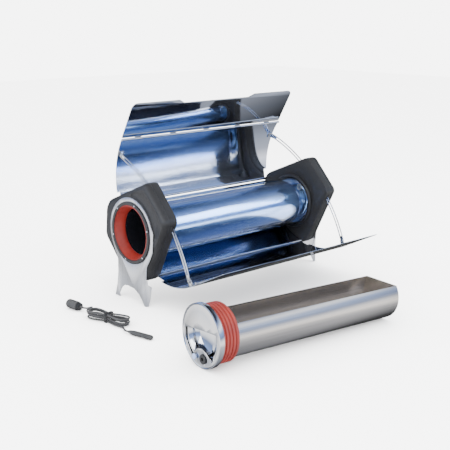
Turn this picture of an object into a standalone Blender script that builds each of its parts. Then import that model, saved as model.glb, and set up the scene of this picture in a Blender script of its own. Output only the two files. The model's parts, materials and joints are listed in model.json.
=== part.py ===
# Solar oven: a vacuum glass tube between two housings, folding mirrors above and
# below it, a two-legged stand, a cooking tray that slides into the tube, and a cord.
# Metres, +Z up. The mirrors look towards -Y, the tube lies along X, its mouth at -X.
import math

import bmesh
import bpy
from mathutils import Matrix, Vector

GAP = 0.0003                    # clearance between neighbouring pieces
OVER = 0.0010                   # how far a tool reaches past what it cuts or joins
EDGE = 0.0008                   # broken edge of a turned piece
CREASE = math.radians(32)       # edges sharper than this are shaded sharp
SEGMENTS = 24                   # faces round a large turned piece
DISC_SEGMENTS = 28              # faces round the tray's disc
BORE_SEGMENTS = 36              # faces round the bore that turns on the hub
BOSS_SEGMENTS = 20              # faces round the tray's socket hole and button
ROD_SEGMENTS = 12               # faces round a thin rod or a boss
SMALL_SEGMENTS = 6              # faces round a pin or a screw

# Where the middle of the tube stands in the part's frame
OVEN_X = 0.0701
OVEN_Y = 0.2120
AXIS_HEIGHT = 0.1823            # tube axis above the floor
AIM = math.radians(43.1)        # how far the mirrors look up

# Housings, measured along X from the middle of the tube
HOUSING_FACE_X = 0.3097         # outer face
OUTER_SHELL_DEPTH = 0.0197
INNER_SHELL_DEPTH = 0.0220
SHELL_WALL = 0.0035
HOUSING_ROUNDING = 0.0140       # soft edge of the outer shell
INNER_EDGE = 0.0020             # soft edge of the inner shell
LEAST_ROUNDING = 0.0005
# Corners of the housing's outline in the mirrors' own plane: forward, up, corner radius
FRONT_CORNER = (0.1360, 0.0600, 0.016)
MIDDLE_CORNER = (-0.0420, 0.1260, 0.040)
REAR_CORNER = (-0.1120, 0.0650, 0.030)
POCKET_DEPTH = 0.0016
POCKET_MARGIN = 0.0040          # from the leg's ring to the crescent pocket
POCKET_FROM = math.radians(-42)
POCKET_TO = math.radians(46)
POCKET_OUTER = ((0.0800, 0.0700), (0.1000, 0.0570), (0.1187, 0.0404), (0.1240, 0.0200), (0.1251, 0.0),
                (0.1245, -0.0300), (0.1200, -0.0520), (0.1095, -0.0640), (0.0869, -0.0690))

# Tube: an outer glass and a coated inner glass with a vacuum between them
TUBE_RADIUS = 0.0700
TUBE_WALL = 0.0022
VACUUM_GAP = 0.0053
ABSORBER_WALL = 0.0020
MOUTH_DEPTH = 0.0242            # from the left housing's face in to the tube's mouth
MOUTH_JOIN = 0.0030             # length over which the two glasses are fused
TUBE_SHORT = 0.0020             # where the outer dome starts, short of the right housing's inner face
TUBE_DOME = 0.0260
ABSORBER_DOME = 0.0280
CLIP_BEFORE_DOME = 0.0030       # spring plate that centres the inner tube in the outer one
CLIP_SHEET = 0.0008
CLIP_LIP = 0.0070
CLIP_GRIP = 0.0240              # from the inner dome's start to where the clip's lip meets it
GETTER_RADIUS = 0.0095
GETTER_HEIGHT = 0.0022
GETTER_INSET = 0.0125           # from the tube's outside in to the getter's middle
GETTER_ANGLE = math.radians(10.0)
COLLAR_FLANGE = 0.0090          # how far the collar stands out round the tube
COLLAR_STANDS_OUT = 0.0060
COLLAR_SLEEVE = 0.0032
COLLAR_DEPTH = 0.0120
COLLAR_EDGE = ((0.0, 0.0025), (0.0012, 0.0008), (0.0030, 0.0))   # along, in from its radius

# What closes the tube's ends and holds the legs
HUB_CLEARANCE = 0.0012          # between the tube and the hub's bore
HUB_WALL = 0.0073
PLATE = 0.0020                  # thickness of the stand's sheet
RING_OVERLAP = 0.0020           # how far the screwed ring stands over the hub
RING_THICKNESS = 0.0027
RING_SCREWS = 6
RING_SCREW_INSET = 0.0045       # from the hub's bore out to the screws
SCREW_SHAFT = 0.0012
SCREW_HEAD = 0.0021
SCREW_HEAD_HEIGHT = 0.0011
RING_SCREW_LENGTH = 0.0065
SEAL_LIP = 0.0012
SEAL_HEEL = 0.0042              # slope from the hub's bore in to the tube
SEAL_THROAT = 0.0035
SEAL_FLARE = 0.0030
SEAL_FLARE_WALL = 0.0018
COVER_RIM = 0.0040
COVER_SLOPE = 0.0080
COVER_DISH = 0.0060
CUP_WALL = 0.0040
CUP_TO = math.radians(72)       # how far the cup reaches up the dome
SHELL_SCREW_SPOTS = ((-0.0930, 0.0450), (-0.0930, -0.0450))
SHELL_SCREW_LENGTH = 0.0120
SHELL_BOSS_RADIUS = 0.0042

# Mirrors: arcs about a line in front of the tube
MIRROR_RADIUS = 0.2200
MIRROR_BEHIND = 0.0070          # clear distance from the tube back to the mirror
SHEET = 0.0012
BACK_MIRROR_EDGE = math.radians(29.3)
HINGE_ANGLE = math.radians(31.0)
HINGE_ROD = 0.0020
NOTCH_START = math.radians(24.0)
NOTCH_ANGLE = math.radians(38.5)
NOTCH_REACH = 0.0110
PANEL_END_ANGLE = math.radians(78.7)
FOLD_ROD = 0.0015
FOLD_ROD_SHORT = 0.0005         # how far the rod ends inside the panel
CURL_TURN = math.radians(265)   # how far a sheet is rolled round its rod
PANEL_OVER_LOW = 0.0025         # panel's half width past the housing's inner face, at its hinge
PANEL_OVER_HIGH = 0.0125        # and at its outer edge
NOTCH_CLEARANCE = 0.0055        # from the housing's inner face to the notched end
ROD_IN_SHELL = 0.0105
GROOVE_DEPTH = 0.0018
BACK_MIRROR_STEPS = 12

# Extensions: flat leaves on the mirrors' outer edges
EXTENSION_ANGLE = math.radians(16.4)
EXTENSION_START = 0.0045
EXTENSION_REACH = 0.1100
TAB_RISE = 0.0100               # how much further the end tabs reach than the middle
TAB_SLOPE = 0.0190
MIDDLE_HALF_WIDTH = 0.1130
CORNER_RADIUS = 0.0160
STRIP_WIDTH = 0.0130
STRIP_SHEET = 0.0008
STRIP_SHORT = 0.0020            # how far the strip ends inside the leaf
STRIP_CUT_BACK = 0.0042
KNUCKLES = 5
KNUCKLE_PITCH = 0.1150
KNUCKLE_LENGTH = 0.0200
WINDOW_REACH = 0.0052

# Slotted struts that hold the mirrors open
STRUT_WIDTH = 0.0110
STRUT_SHEET = 0.0020
STRUT_SLOT = 0.0055
STRUT_TAIL = 0.0120             # what hides in the housing when the mirror is open
SLOT_FROM_FOOT = 0.0180
SLOT_FROM_TAIL = 0.0100
STRUT_BOW = 0.0045
# A strut's foot: its angle along the mirror, and its height off it
UPPER_FOOT_ANGLE = math.radians(66.583773)
UPPER_FOOT_RISE = 0.0091335
LOWER_FOOT_ANGLE = math.radians(72.039430)
LOWER_FOOT_RISE = 0.0137492
UPPER_ENTRY = (0.1014, 0.0731)
LOWER_ENTRY = (0.1107, 0.0764)
UPPER_STRUT_IN = 0.0060         # from the housing's inner face in to the strut
LOWER_STRUT_IN = 0.0105
ENTRY_CLEARANCE = 0.0036
ENTRY_SIDE_CLEARANCE = 0.0006
ENTRY_BEHIND = 0.0160           # how far the housing's slot runs to each side of the entry point
ENTRY_AHEAD = 0.0220
STRUT_PIN = 0.0015
PIN_HEAD = 0.0032
PIN_HEAD_HEIGHT = 0.0010
BRACKET_SHEET = 0.0015
BRACKET_FLANGE = 0.0130
BRACKET_LENGTH = 0.0140
BRACKET_TOP = 0.0055
BRACKET_SCREW_LENGTH = 0.0042
BRACKET_SCREW_SHIFT = 0.0010    # from the flange's middle towards its free edge

# Stand: outline of one leg plate seen from its end, the upper points hung from the tube's axis
LEG_RING_WIDTH = 0.0120
LEG_REAR = ((0.0711, AXIS_HEIGHT - 0.0600), (0.0608, AXIS_HEIGHT - 0.0816), (0.0613, 0.0664),
            (0.0668, 0.0332), (0.0771, 0.0))
LEG_ARCH = ((0.0558, 0.0), (0.0573, 0.0105), (0.0464, 0.0273), (0.0344, 0.0360), (0.0186, 0.0385),
            (-0.0102, 0.0362), (-0.0290, 0.0262), (-0.0415, 0.0140), (-0.0522, 0.0))
LEG_FRONT = ((-0.0599, 0.0), (-0.0594, 0.0190), (-0.0584, 0.0598), (-0.0623, AXIS_HEIGHT - 0.0872),
             (-0.0660, AXIS_HEIGHT - 0.0745), (-0.0803, AXIS_HEIGHT - 0.0535),
             (-0.0905, AXIS_HEIGHT - 0.0333), (-0.0945, AXIS_HEIGHT + 0.0147))
LEG_RING_FROM = math.radians(-26.0)
LEG_RING_TO = math.radians(160.0)
FLANGE_POINTS = ((0.0, 0.0060), (0.0190, 0.0130), (0.0480, 0.0180), (0.0560, 0.0060), (0.0680, 0.0050))

# Tray
TRAY_X = -0.4498
TRAY_Y = -0.4418
TRAY_YAW = math.radians(-5.23)
TRAY_PITCH = math.radians(1.27)
DISC_OVER_TUBE = 0.0005         # how far the disc stands over the tube's outside
DISC_RIM_DEPTH = 0.0120
DISC_RIM_WALL = 0.0040
DISC_FACE_AT = 0.0020
DISC_FACE = 0.0022
DISC_CORNER = 0.0002
DISC_BULGE = 0.0030
DISC_CROWN = 0.0300             # radius of the domed face's flatter middle
DISC_FOOT_INSET = 0.0175        # from the disc's edge in to where its dome starts
DISC_TURN = math.radians(6.6)
OPENING_MARGIN = 0.0095
OPENING_TOP = 0.0144
OPENING_ARCH = 0.0032           # how much lower the opening's top edge is at its ends
BOSS_INSET = 0.0100             # from the disc's edge in to the middle of the boss
BOSS_RADIUS = 0.0345
GRIP_CUP_SEAT = 0.0020          # how far the cup's flange stands out round the opening
GRIP_CUP_WALL = 0.0012
GRIP_CUP_FLARE = 0.0060
GRIP_CUP_STRAIGHT = 0.0063      # length of the neck that the bulkhead's sleeve holds
GRIP_CUP_DEPTH = 0.0360
SOCKET_ASIDE = 0.0065
SOCKET_ABOVE_BOSS = 0.0125
SOCKET_RADIUS = 0.0110
SOCKET_RIM = 0.0018
SOCKET_SHOULDER = 0.0020        # how far its rim stands out round its body
SOCKET_BORE = 0.0040
SOCKET_BORE_DEPTH = 0.0120
SOCKET_LENGTH = 0.0150
BUTTON_ASIDE = -0.0215
BUTTON_ABOVE_BOSS = 0.0140
BUTTON_RADIUS = 0.0065
BUTTON_STEM = 0.0035
BUTTON_STEM_END = 0.0060
BUTTON_ROOM = 0.0012
BUTTON_HEIGHT = 0.0028
BUTTON_TRAVEL = 0.0015
STOPPER_START = 0.0125
STOPPER_LENGTH = 0.0430
STOPPER_PRESS = 0.0050          # how much wider the ribs are than the tube's bore
STOPPER_RIB_HEIGHT = 0.0020
STOPPER_WALL = 0.0135
STOPPER_RIBS = 5
RIB_RISE = 0.05                 # shares of one rib's pitch where it rises, starts to fall and ends
RIB_FALL = 0.68
RIB_END = 0.82
BULKHEAD_WALL = 0.0012
TROUGH_CLEARANCE = 0.0018       # round the trough in the tube's bore
TROUGH_WALL = 0.0008
TROUGH_RIM = 0.0325             # rim above the trough's axis
TROUGH_SHORT = 0.0150           # where it ends before the bore's dome when the tray is in
TROUGH_STEPS = 28
HEATER_RADIUS = 0.0030
HEATER_LENGTH = 0.4400
HEATER_RISE = 0.0067            # its middle above the trough's outside
HEATER_TIP = 0.0015

# Cord
CORD_RADIUS = 0.0023
PLUG_REAR = (-0.4530, 0.0240)
PLUG_NOSE = (-0.4590, 0.0690)
PLUG_RADIUS = 0.0115
PLUG_COLLAR_RADIUS = 0.0100
PLUG_COLLAR_LENGTH = 0.0080
PLUG_COLLAR_CHAMFER = 0.0020
# Rounded ends, as steps along from the end and in from the radius
PLUG_REAR_EDGE = ((0.0, 0.0015), (0.0018, 0.0))
PLUG_NOSE_EDGE = ((0.0030, 0.0), (0.0008, 0.0010), (0.0, 0.0035))
CONNECTOR_REAR_EDGE = ((0.0, 0.0025), (0.0060, 0.0010), (0.0160, 0.0))
CONNECTOR_NOSE_EDGE = ((0.0040, 0.0), (0.0010, 0.0015), (0.0, 0.0040))
CONNECTOR_REAR = (-0.4517, -0.1828)
CONNECTOR_NOSE = (-0.4343, -0.2517)
CONNECTOR_RADIUS = 0.0060
TAIL_BEND = (-0.4465, 0.0040, 0.0120)   # where the free stretch to the plug comes down
TAIL_LEAD = 1.2                 # straight cord beside a fitting, in cord diameters
TAIL_SPACING = 0.8              # between points of a free stretch, in cord diameters
HANK_X = -0.4400
HANK_Y = -0.0825
HANK_HEADING = math.atan2(-0.1250, 0.0305)
HANK_HALF_LENGTH = 0.0630
HANK_HALF_WIDTH = 0.0165
HANK_WAIST = 0.0080             # how far the runs are drawn in at the tie
HANK_WAIST_LENGTH = 0.0240
HANK_STEP = 0.0053              # from one strand to the next beside it
HANK_LAYER = 0.0051
HANK_LAYERS = 4
HANK_LIFT = 0.0013
HANK_TURNS = 4.375
HANK_FIRST_CLIMB = 1.125
HANK_POINTS = 24                # per turn
TIE_WIDTH = 0.0080
TIE_SHEET = 0.0009
TIE_SLACK = 0.0008

# Sizes that follow from those above
SEAM_X = HOUSING_FACE_X - OUTER_SHELL_DEPTH
HOUSING_INNER_X = SEAM_X - INNER_SHELL_DEPTH
LEG_X = HOUSING_FACE_X + GAP
RING_X = LEG_X + PLATE + GAP
TUBE_MOUTH_X = MOUTH_DEPTH - HOUSING_FACE_X
TUBE_SHOULDER_X = HOUSING_INNER_X - TUBE_SHORT
CLIP_X = TUBE_SHOULDER_X - CLIP_BEFORE_DOME
ABSORBER_SHOULDER_X = CLIP_X - CLIP_LIP - CLIP_GRIP
BORE_RADIUS = TUBE_RADIUS - TUBE_WALL - VACUUM_GAP - ABSORBER_WALL
GETTER_RISE = TUBE_RADIUS - GETTER_INSET
COLLAR_RADIUS = TUBE_RADIUS + COLLAR_FLANGE
HUB_BORE = TUBE_RADIUS + HUB_CLEARANCE
HUB_RADIUS = HUB_BORE + HUB_WALL
RING_RADIUS = HUB_RADIUS + RING_OVERLAP
LEG_RING = HUB_RADIUS + LEG_RING_WIDTH
LEG_BORE = (HUB_RADIUS + GAP) / math.cos(math.pi / BORE_SEGMENTS)
MIRROR_CENTRE = MIRROR_RADIUS - TUBE_RADIUS - MIRROR_BEHIND     # forward of the tube's axis
MIRROR_MIDDLE = MIRROR_RADIUS + SHEET / 2
PANEL_HALF_WIDTH_LOW = HOUSING_INNER_X + PANEL_OVER_LOW
PANEL_HALF_WIDTH_HIGH = HOUSING_INNER_X + PANEL_OVER_HIGH
NOTCH_HALF_WIDTH = HOUSING_INNER_X - NOTCH_CLEARANCE
UPPER_STRUT_X = HOUSING_INNER_X + UPPER_STRUT_IN
LOWER_STRUT_X = HOUSING_INNER_X + LOWER_STRUT_IN
EXTENSION_MIDDLE_REACH = EXTENSION_REACH - TAB_RISE
TAB_HALF_WIDTH = MIDDLE_HALF_WIDTH + TAB_SLOPE
KNUCKLE_SPOTS = [KNUCKLE_PITCH * (number - (KNUCKLES - 1) / 2) for number in range(KNUCKLES)]
DISC_RADIUS = TUBE_RADIUS + DISC_OVER_TUBE
DISC_FOOT = DISC_RADIUS - DISC_FOOT_INSET
OPENING_RADIUS = DISC_RADIUS - OPENING_MARGIN
BOSS_DROP = DISC_RADIUS - BOSS_INSET
SOCKET_SPOT = (SOCKET_ASIDE, SOCKET_ABOVE_BOSS - BOSS_DROP)
SOCKET_BODY = SOCKET_RADIUS - SOCKET_SHOULDER
BUTTON_SPOT = (BUTTON_ASIDE, BUTTON_ABOVE_BOSS - BOSS_DROP)
STOPPER_RIB = BORE_RADIUS + STOPPER_PRESS
STOPPER_GROOVE = STOPPER_RIB - STOPPER_RIB_HEIGHT
STOPPER_BORE = STOPPER_GROOVE - STOPPER_WALL
GRIP_CUP_RADIUS = OPENING_RADIUS + GRIP_CUP_SEAT
GRIP_CUP_NECK = STOPPER_BORE - GAP - BULKHEAD_WALL - GAP
TROUGH_RADIUS = BORE_RADIUS - TROUGH_CLEARANCE
TROUGH_END = RING_X + RING_THICKNESS + ABSORBER_SHOULDER_X - TROUGH_SHORT
HEATER_DROP = TROUGH_RADIUS - HEATER_RISE
RING_SCREW_SPOTS = []
for ring_screw in range(RING_SCREWS):
    ring_screw_angle = 2 * math.pi * (ring_screw + 0.5) / RING_SCREWS
    RING_SCREW_SPOTS.append(((HUB_BORE + RING_SCREW_INSET) * math.cos(ring_screw_angle),
                             (HUB_BORE + RING_SCREW_INSET) * math.sin(ring_screw_angle)))


def arc_point(angle, radius):
    """Point in the mirrors' plane (forward, up) at an angle above the mirror's middle."""
    return (MIRROR_CENTRE - radius * math.cos(angle), radius * math.sin(angle))


HINGE = arc_point(HINGE_ANGLE, MIRROR_MIDDLE - HINGE_ROD - GAP - SHEET / 2)
FOLD_HINGE = arc_point(PANEL_END_ANGLE, MIRROR_MIDDLE - FOLD_ROD - GAP - SHEET / 2)
UPPER_FOOT = arc_point(UPPER_FOOT_ANGLE, MIRROR_RADIUS - UPPER_FOOT_RISE)
LOWER_FOOT = arc_point(LOWER_FOOT_ANGLE, MIRROR_RADIUS - LOWER_FOOT_RISE)




# Helpers

for old in list(bpy.data.objects):
    bpy.data.objects.remove(old, do_unlink=True)


def empty(name, place, parent=None):
    """An empty that carries pieces; its place is in its parent's frame."""
    holder = bpy.data.objects.new(name, None)
    holder.location = place
    holder.parent = parent
    bpy.context.collection.objects.link(holder)
    return holder


def finish(name, hex_colour, roughness, metallic):
    """A material with one colour."""
    channels = [int(hex_colour[i:i + 2], 16) / 255 for i in (0, 2, 4)]
    linear = [c / 12.92 if c <= 0.04045 else ((c + 0.055) / 1.055) ** 2.4 for c in channels]
    material = bpy.data.materials.new(name)
    material.use_nodes = True
    shader = material.node_tree.nodes["Principled BSDF"]
    shader.inputs["Base Color"].default_value = (*linear, 1.0)
    shader.inputs["Roughness"].default_value = roughness
    shader.inputs["Metallic"].default_value = metallic
    return material


MIRROR = ("b9c3d6", 0.08, 1.0)
STEEL = ("c9c6c2", 0.28, 1.0)
BLACK_PLASTIC = ("2b2b2c", 0.50, 0.0)
BLACK_METAL = ("1f2022", 0.35, 1.0)
SILICONE = ("a3341f", 0.60, 0.0)
CORD_RUBBER = ("3c3c3d", 0.65, 0.0)
CLEAR_GLASS = ("dfe6ee", 0.03, 0.0)
COATED_GLASS = ("4f7fd0", 0.20, 0.3)
GETTER_METAL = ("9a9894", 0.50, 0.2)
BUTTON_BLUE = ("7d8fb0", 0.40, 0.3)


def piece(name, mesh, look, holder, pivot=(0, 0, 0)):
    """A named piece whose origin is moved to a pivot in its holder's frame."""
    mesh.transform(Matrix.Translation(-Vector(pivot)))
    made = bpy.data.objects.new(name, mesh)
    mesh.materials.append(finish(name + "_finish", *look))
    made.location = pivot
    made.parent = holder
    bpy.context.collection.objects.link(made)
    mesh.shade_smooth()
    mesh.set_sharp_from_angle(angle=CREASE)
    return made


def cutter(name, mesh, holder):
    """A body that only cuts others."""
    made = bpy.data.objects.new(name, mesh)
    made.parent = holder
    made.hide_render = True
    made.display_type = "WIRE"
    bpy.context.collection.objects.link(made)
    return made


def boolean(target, tool, operation):
    """A live Boolean on the target."""
    change = target.modifiers.new(tool.name, "BOOLEAN")
    change.operation = operation
    change.solver = "EXACT"
    change.object = tool


def closed_mesh(name, vertices, faces):
    """A mesh from points and faces, with its faces turned outwards."""
    mesh = bpy.data.meshes.new(name)
    shape = bmesh.new()
    made = [shape.verts.new(v) for v in vertices]
    for face in faces:
        shape.faces.new([made[i] for i in face])
    bmesh.ops.recalc_face_normals(shape, faces=shape.faces)
    shape.to_mesh(mesh)
    shape.free()
    return mesh


def loft(name, loops, ring=False):
    """Joins loops of equal count; a ring joins the last to the first, else ends are capped."""
    count = len(loops[0])
    vertices = [point for loop in loops for point in loop]
    faces = []
    for a in range(len(loops) if ring else len(loops) - 1):
        b = (a + 1) % len(loops)
        for i in range(count):
            j = (i + 1) % count
            faces.append((a * count + i, a * count + j, b * count + j, b * count + i))
    if not ring:
        faces.append(tuple(range(count)))
        faces.append(tuple(range((len(loops) - 1) * count, len(loops) * count)))
    return closed_mesh(name, vertices, faces)


def turned(name, profile, centre=(0.0, 0.0), segments=SEGMENTS, phase=0.0):
    """A closed profile of (x, radius) points turned about the X axis; phase shifts its corners."""
    vertices = []
    rings = []
    for x, radius in profile:
        if radius == 0.0:
            rings.append([len(vertices)] * segments)
            vertices.append(spot(x, *centre))
            continue
        rings.append(list(range(len(vertices), len(vertices) + segments)))
        for i in range(segments):
            angle = 2 * math.pi * (i + phase) / segments
            vertices.append(spot(x, centre[0] + radius * math.cos(angle),
                                 centre[1] + radius * math.sin(angle)))
    faces = []
    on_axis = profile[0][1] == 0.0 and profile[-1][1] == 0.0
    for a in range(len(rings) - 1 if on_axis else len(rings)):
        lower, upper = rings[a], rings[(a + 1) % len(rings)]
        for i in range(segments):
            j = (i + 1) % segments
            corners = []
            for index in (lower[i], lower[j], upper[j], upper[i]):
                if index not in corners:
                    corners.append(index)
            faces.append(tuple(corners))
    return closed_mesh(name, vertices, faces)


def spot(x, forward, up):
    """A point of the tilting oven in its holder's axes."""
    return (x, -forward, up)


def bar(name, outline, x_from, x_to):
    """An outline of (forward, up) points made solid along X."""
    return loft(name, [[spot(x, *p) for p in outline] for x in (x_from, x_to)])


def rod(name, centre, radius, x_from, x_to, segments=16):
    """A round bar along X."""
    return turned(name, [(x_from, 0.0), (x_from, radius), (x_to, radius), (x_to, 0.0)], centre, segments)


def circle(centre, radius, count, start=0.0, stop=2 * math.pi):
    """Points on an arc; a full circle doesn't repeat its first point."""
    full = abs(stop - start) >= 2 * math.pi - 1e-9
    steps = count if full else count - 1
    return [(centre[0] + radius * math.cos(start + (stop - start) * i / steps),
             centre[1] + radius * math.sin(start + (stop - start) * i / steps)) for i in range(count)]


def mirrored(side, pairs):
    """Turns upper (forward, up) points into lower ones when side is -1."""
    return [(p[0], side * p[1]) for p in pairs]


# Frames that carry the pieces

stand = empty("stand_origin", (OVEN_X, OVEN_Y, 0.0))
oven = empty("oven_axis", (0.0, 0.0, AXIS_HEIGHT), stand)
oven.rotation_euler = (-AIM, 0.0, 0.0)


# Housings

def corner_arc(before, corner, after, points=4):
    """Centre, radius and end angles of a rounded corner."""
    place = Vector(corner[:2])
    to_before = (Vector(before[:2]) - place).normalized()
    to_after = (Vector(after[:2]) - place).normalized()
    half = to_before.angle(to_after) / 2
    middle = (to_before + to_after).normalized()
    centre = place + middle * corner[2] / math.sin(half)
    first = place + to_before * corner[2] / math.tan(half) - centre
    last = place + to_after * corner[2] / math.tan(half) - centre
    start = math.atan2(first.y, first.x)
    turn = (math.atan2(last.y, last.x) - start + math.pi) % (2 * math.pi) - math.pi
    return [(centre, corner[2], start + turn * i / (points - 1)) for i in range(points)]


HOUSING_CORNERS = (FRONT_CORNER, MIDDLE_CORNER, REAR_CORNER)
HOUSING_CORNERS += tuple((u, -v, r) for u, v, r in reversed(HOUSING_CORNERS))
HOUSING_ARCS = []
for index, corner in enumerate(HOUSING_CORNERS):
    HOUSING_ARCS += corner_arc(HOUSING_CORNERS[index - 1], corner, HOUSING_CORNERS[(index + 1) % 6])


def housing_loop(x, inset):
    """The housing's outline at x, drawn in by an inset."""
    loop = []
    for centre, radius, angle in HOUSING_ARCS:
        reach = max(radius - inset, LEAST_ROUNDING)
        loop.append(spot(x, centre.x + reach * math.cos(angle), centre.y + reach * math.sin(angle)))
    return loop


def outer_shell(name, side):
    """Cup-shaped outer half of a housing with the hub that the leg turns on."""
    face = HOUSING_FACE_X
    inner_face = face - SHELL_WALL
    hub_end = RING_X - GAP
    steps = 3
    loops = []
    for i in range(steps, -1, -1):
        angle = math.pi / 2 * i / steps
        x = face - HOUSING_ROUNDING * (1 - math.sin(angle))
        loops.append(housing_loop(side * x, HOUSING_ROUNDING * (1 - math.cos(angle))))
    loops.append(housing_loop(side * (SEAM_X + GAP), 0.0))
    loops.append(housing_loop(side * (SEAM_X + GAP), SHELL_WALL))
    inner_rounding = HOUSING_ROUNDING - SHELL_WALL
    for i in range(2):
        angle = math.pi / 2 * i
        x = inner_face - inner_rounding * (1 - math.sin(angle))
        loops.append(housing_loop(side * x, SHELL_WALL + inner_rounding * (1 - math.cos(angle))))
    shell = piece(name, loft(name, loops), BLACK_PLASTIC, oven)
    hub = turned(name, [(side * (inner_face + OVER), HUB_BORE), (side * hub_end, HUB_BORE),
                        (side * hub_end, HUB_RADIUS), (side * (inner_face + OVER), HUB_RADIUS)])
    boolean(shell, cutter(name + "_hub", hub, oven), "UNION")
    bore = rod(name, (0.0, 0.0), HUB_BORE, side * (SEAM_X - OVER), side * (hub_end + OVER), SEGMENTS)
    boolean(shell, cutter(name + "_hub_bore", bore, oven), "DIFFERENCE")
    screw_end = HOUSING_INNER_X + SHELL_SCREW_LENGTH
    for number, place in enumerate(SHELL_SCREW_SPOTS):
        boss_start = HOUSING_INNER_X + SHELL_WALL + GAP
        boss = rod(name + "_boss", place, SHELL_BOSS_RADIUS, side * boss_start, side * (inner_face + OVER),
                   ROD_SEGMENTS)
        boolean(shell, cutter("%s_boss_%d" % (name, number), boss, oven), "UNION")
    for number, place in enumerate(SHELL_SCREW_SPOTS):
        hole = rod(name + "_hole", place, SCREW_SHAFT + GAP, side * (HOUSING_INNER_X - OVER),
                   side * (screw_end + GAP), SMALL_SEGMENTS)
        boolean(shell, cutter("%s_boss_hole_%d" % (name, number), hole, oven), "DIFFERENCE")
    for number, place in enumerate(RING_SCREW_SPOTS):
        deep = RING_X + RING_THICKNESS - RING_SCREW_LENGTH - GAP
        hole = rod(name + "_ring_hole", place, SCREW_SHAFT + GAP, side * deep, side * (hub_end + OVER),
                   SMALL_SEGMENTS)
        boolean(shell, cutter("%s_ring_hole_%d" % (name, number), hole, oven), "DIFFERENCE")
    return shell


def inner_shell(name, side):
    """Shallow inner half of a housing that faces the mirrors."""
    face = HOUSING_INNER_X
    hole = TUBE_RADIUS + GAP + COLLAR_SLEEVE + GAP
    loops = [housing_loop(side * face, INNER_EDGE),
             housing_loop(side * (face + INNER_EDGE * 0.3), INNER_EDGE * 0.3),
             housing_loop(side * (face + INNER_EDGE), 0.0), housing_loop(side * SEAM_X, 0.0),
             housing_loop(side * SEAM_X, SHELL_WALL), housing_loop(side * (face + SHELL_WALL), SHELL_WALL)]
    shell = piece(name, loft(name, loops), BLACK_PLASTIC, oven)
    bore = rod(name, (0.0, 0.0), hole, side * (face - OVER), side * (face + SHELL_WALL + OVER), SEGMENTS)
    boolean(shell, cutter(name + "_bore", bore, oven), "DIFFERENCE")
    for level in (1, -1):
        socket = rod(name + "_rod_hole", (HINGE[0], level * HINGE[1]), HINGE_ROD + GAP, side * (face - OVER),
                     side * (face + ROD_IN_SHELL + GAP), ROD_SEGMENTS)
        boolean(shell, cutter("%s_rod_hole_%d" % (name, level), socket, oven), "DIFFERENCE")
        foot, entry, strut_x = STRUTS[level]
        along = Vector((entry[0] - foot[0], entry[1] - foot[1])).normalized()
        across = Vector((-along.y, along.x)) * (STRUT_WIDTH / 2 + ENTRY_CLEARANCE)
        middle = Vector(entry)
        window = [middle + along * a + across * b for a, b in ((-ENTRY_BEHIND, -1), (ENTRY_AHEAD, -1),
                                                               (ENTRY_AHEAD, 1), (-ENTRY_BEHIND, 1))]
        half = STRUT_SHEET / 2 + ENTRY_SIDE_CLEARANCE
        tool = bar(name + "_strut_slot", mirrored(level, window), side * (strut_x - half),
                   side * (strut_x + half))
        boolean(shell, cutter("%s_strut_slot_%d" % (name, level), tool, oven), "DIFFERENCE")
    for number, place in enumerate(SHELL_SCREW_SPOTS):
        clear = turned(name + "_screw_hole", [
            (side * (face - OVER), 0.0), (side * (face - OVER), SCREW_HEAD + GAP),
            (side * (face + SCREW_HEAD_HEIGHT + GAP), SCREW_HEAD + GAP),
            (side * (face + SCREW_HEAD_HEIGHT + GAP), SCREW_SHAFT + GAP),
            (side * (face + SHELL_WALL + OVER), SCREW_SHAFT + GAP),
            (side * (face + SHELL_WALL + OVER), 0.0)], place, SMALL_SEGMENTS)
        boolean(shell, cutter("%s_screw_hole_%d" % (name, number), clear, oven), "DIFFERENCE")
    low = MIRROR_RADIUS - GAP
    high = MIRROR_RADIUS + SHEET + GAP
    margin = BACK_MIRROR_EDGE + GAP / MIRROR_RADIUS
    angles = [margin * (2 * i / BACK_MIRROR_STEPS - 1) for i in range(BACK_MIRROR_STEPS + 1)]
    track = [arc_point(a, low) for a in angles] + [arc_point(a, high) for a in reversed(angles)]
    groove = bar(name + "_groove", track, side * (face - OVER), side * (face + GROOVE_DEPTH + GAP))
    boolean(shell, cutter(name + "_groove", groove, oven), "DIFFERENCE")
    return shell


STRUTS = {1: (UPPER_FOOT, UPPER_ENTRY, UPPER_STRUT_X), -1: (LOWER_FOOT, LOWER_ENTRY, LOWER_STRUT_X)}
SIDES = (("left", -1), ("right", 1))

for word, side in SIDES:
    outer_shell(word + "_outer_shell", side)
    inner_shell(word + "_inner_shell", side)


for word, side in SIDES:
    for level_word, place in zip(("upper", "lower"), SHELL_SCREW_SPOTS):
        name = "%s_shell_screw_%s" % (word, level_word)
        head_x = side * (HOUSING_INNER_X + GAP / 2)
        under = side * (HOUSING_INNER_X + SCREW_HEAD_HEIGHT)
        end = side * (HOUSING_INNER_X + SHELL_SCREW_LENGTH)
        piece(name, turned(name, [(head_x, 0.0), (head_x, SCREW_HEAD), (under, SCREW_HEAD),
                                  (under, SCREW_SHAFT), (end, SCREW_SHAFT), (end, 0.0)],
                           place, SMALL_SEGMENTS), STEEL, oven)

# A crescent pocket beside the leg's ring on the left housing's outer face
pocket_inner = circle((0.0, 0.0), LEG_RING + POCKET_MARGIN, 9, POCKET_FROM, POCKET_TO)
pocket = bar("pocket", list(POCKET_OUTER) + pocket_inner, -HOUSING_FACE_X - OVER,
             -HOUSING_FACE_X + POCKET_DEPTH)
boolean(bpy.data.objects["left_outer_shell"], cutter("left_pocket", pocket, oven), "DIFFERENCE")


# Ends of the tube

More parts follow.
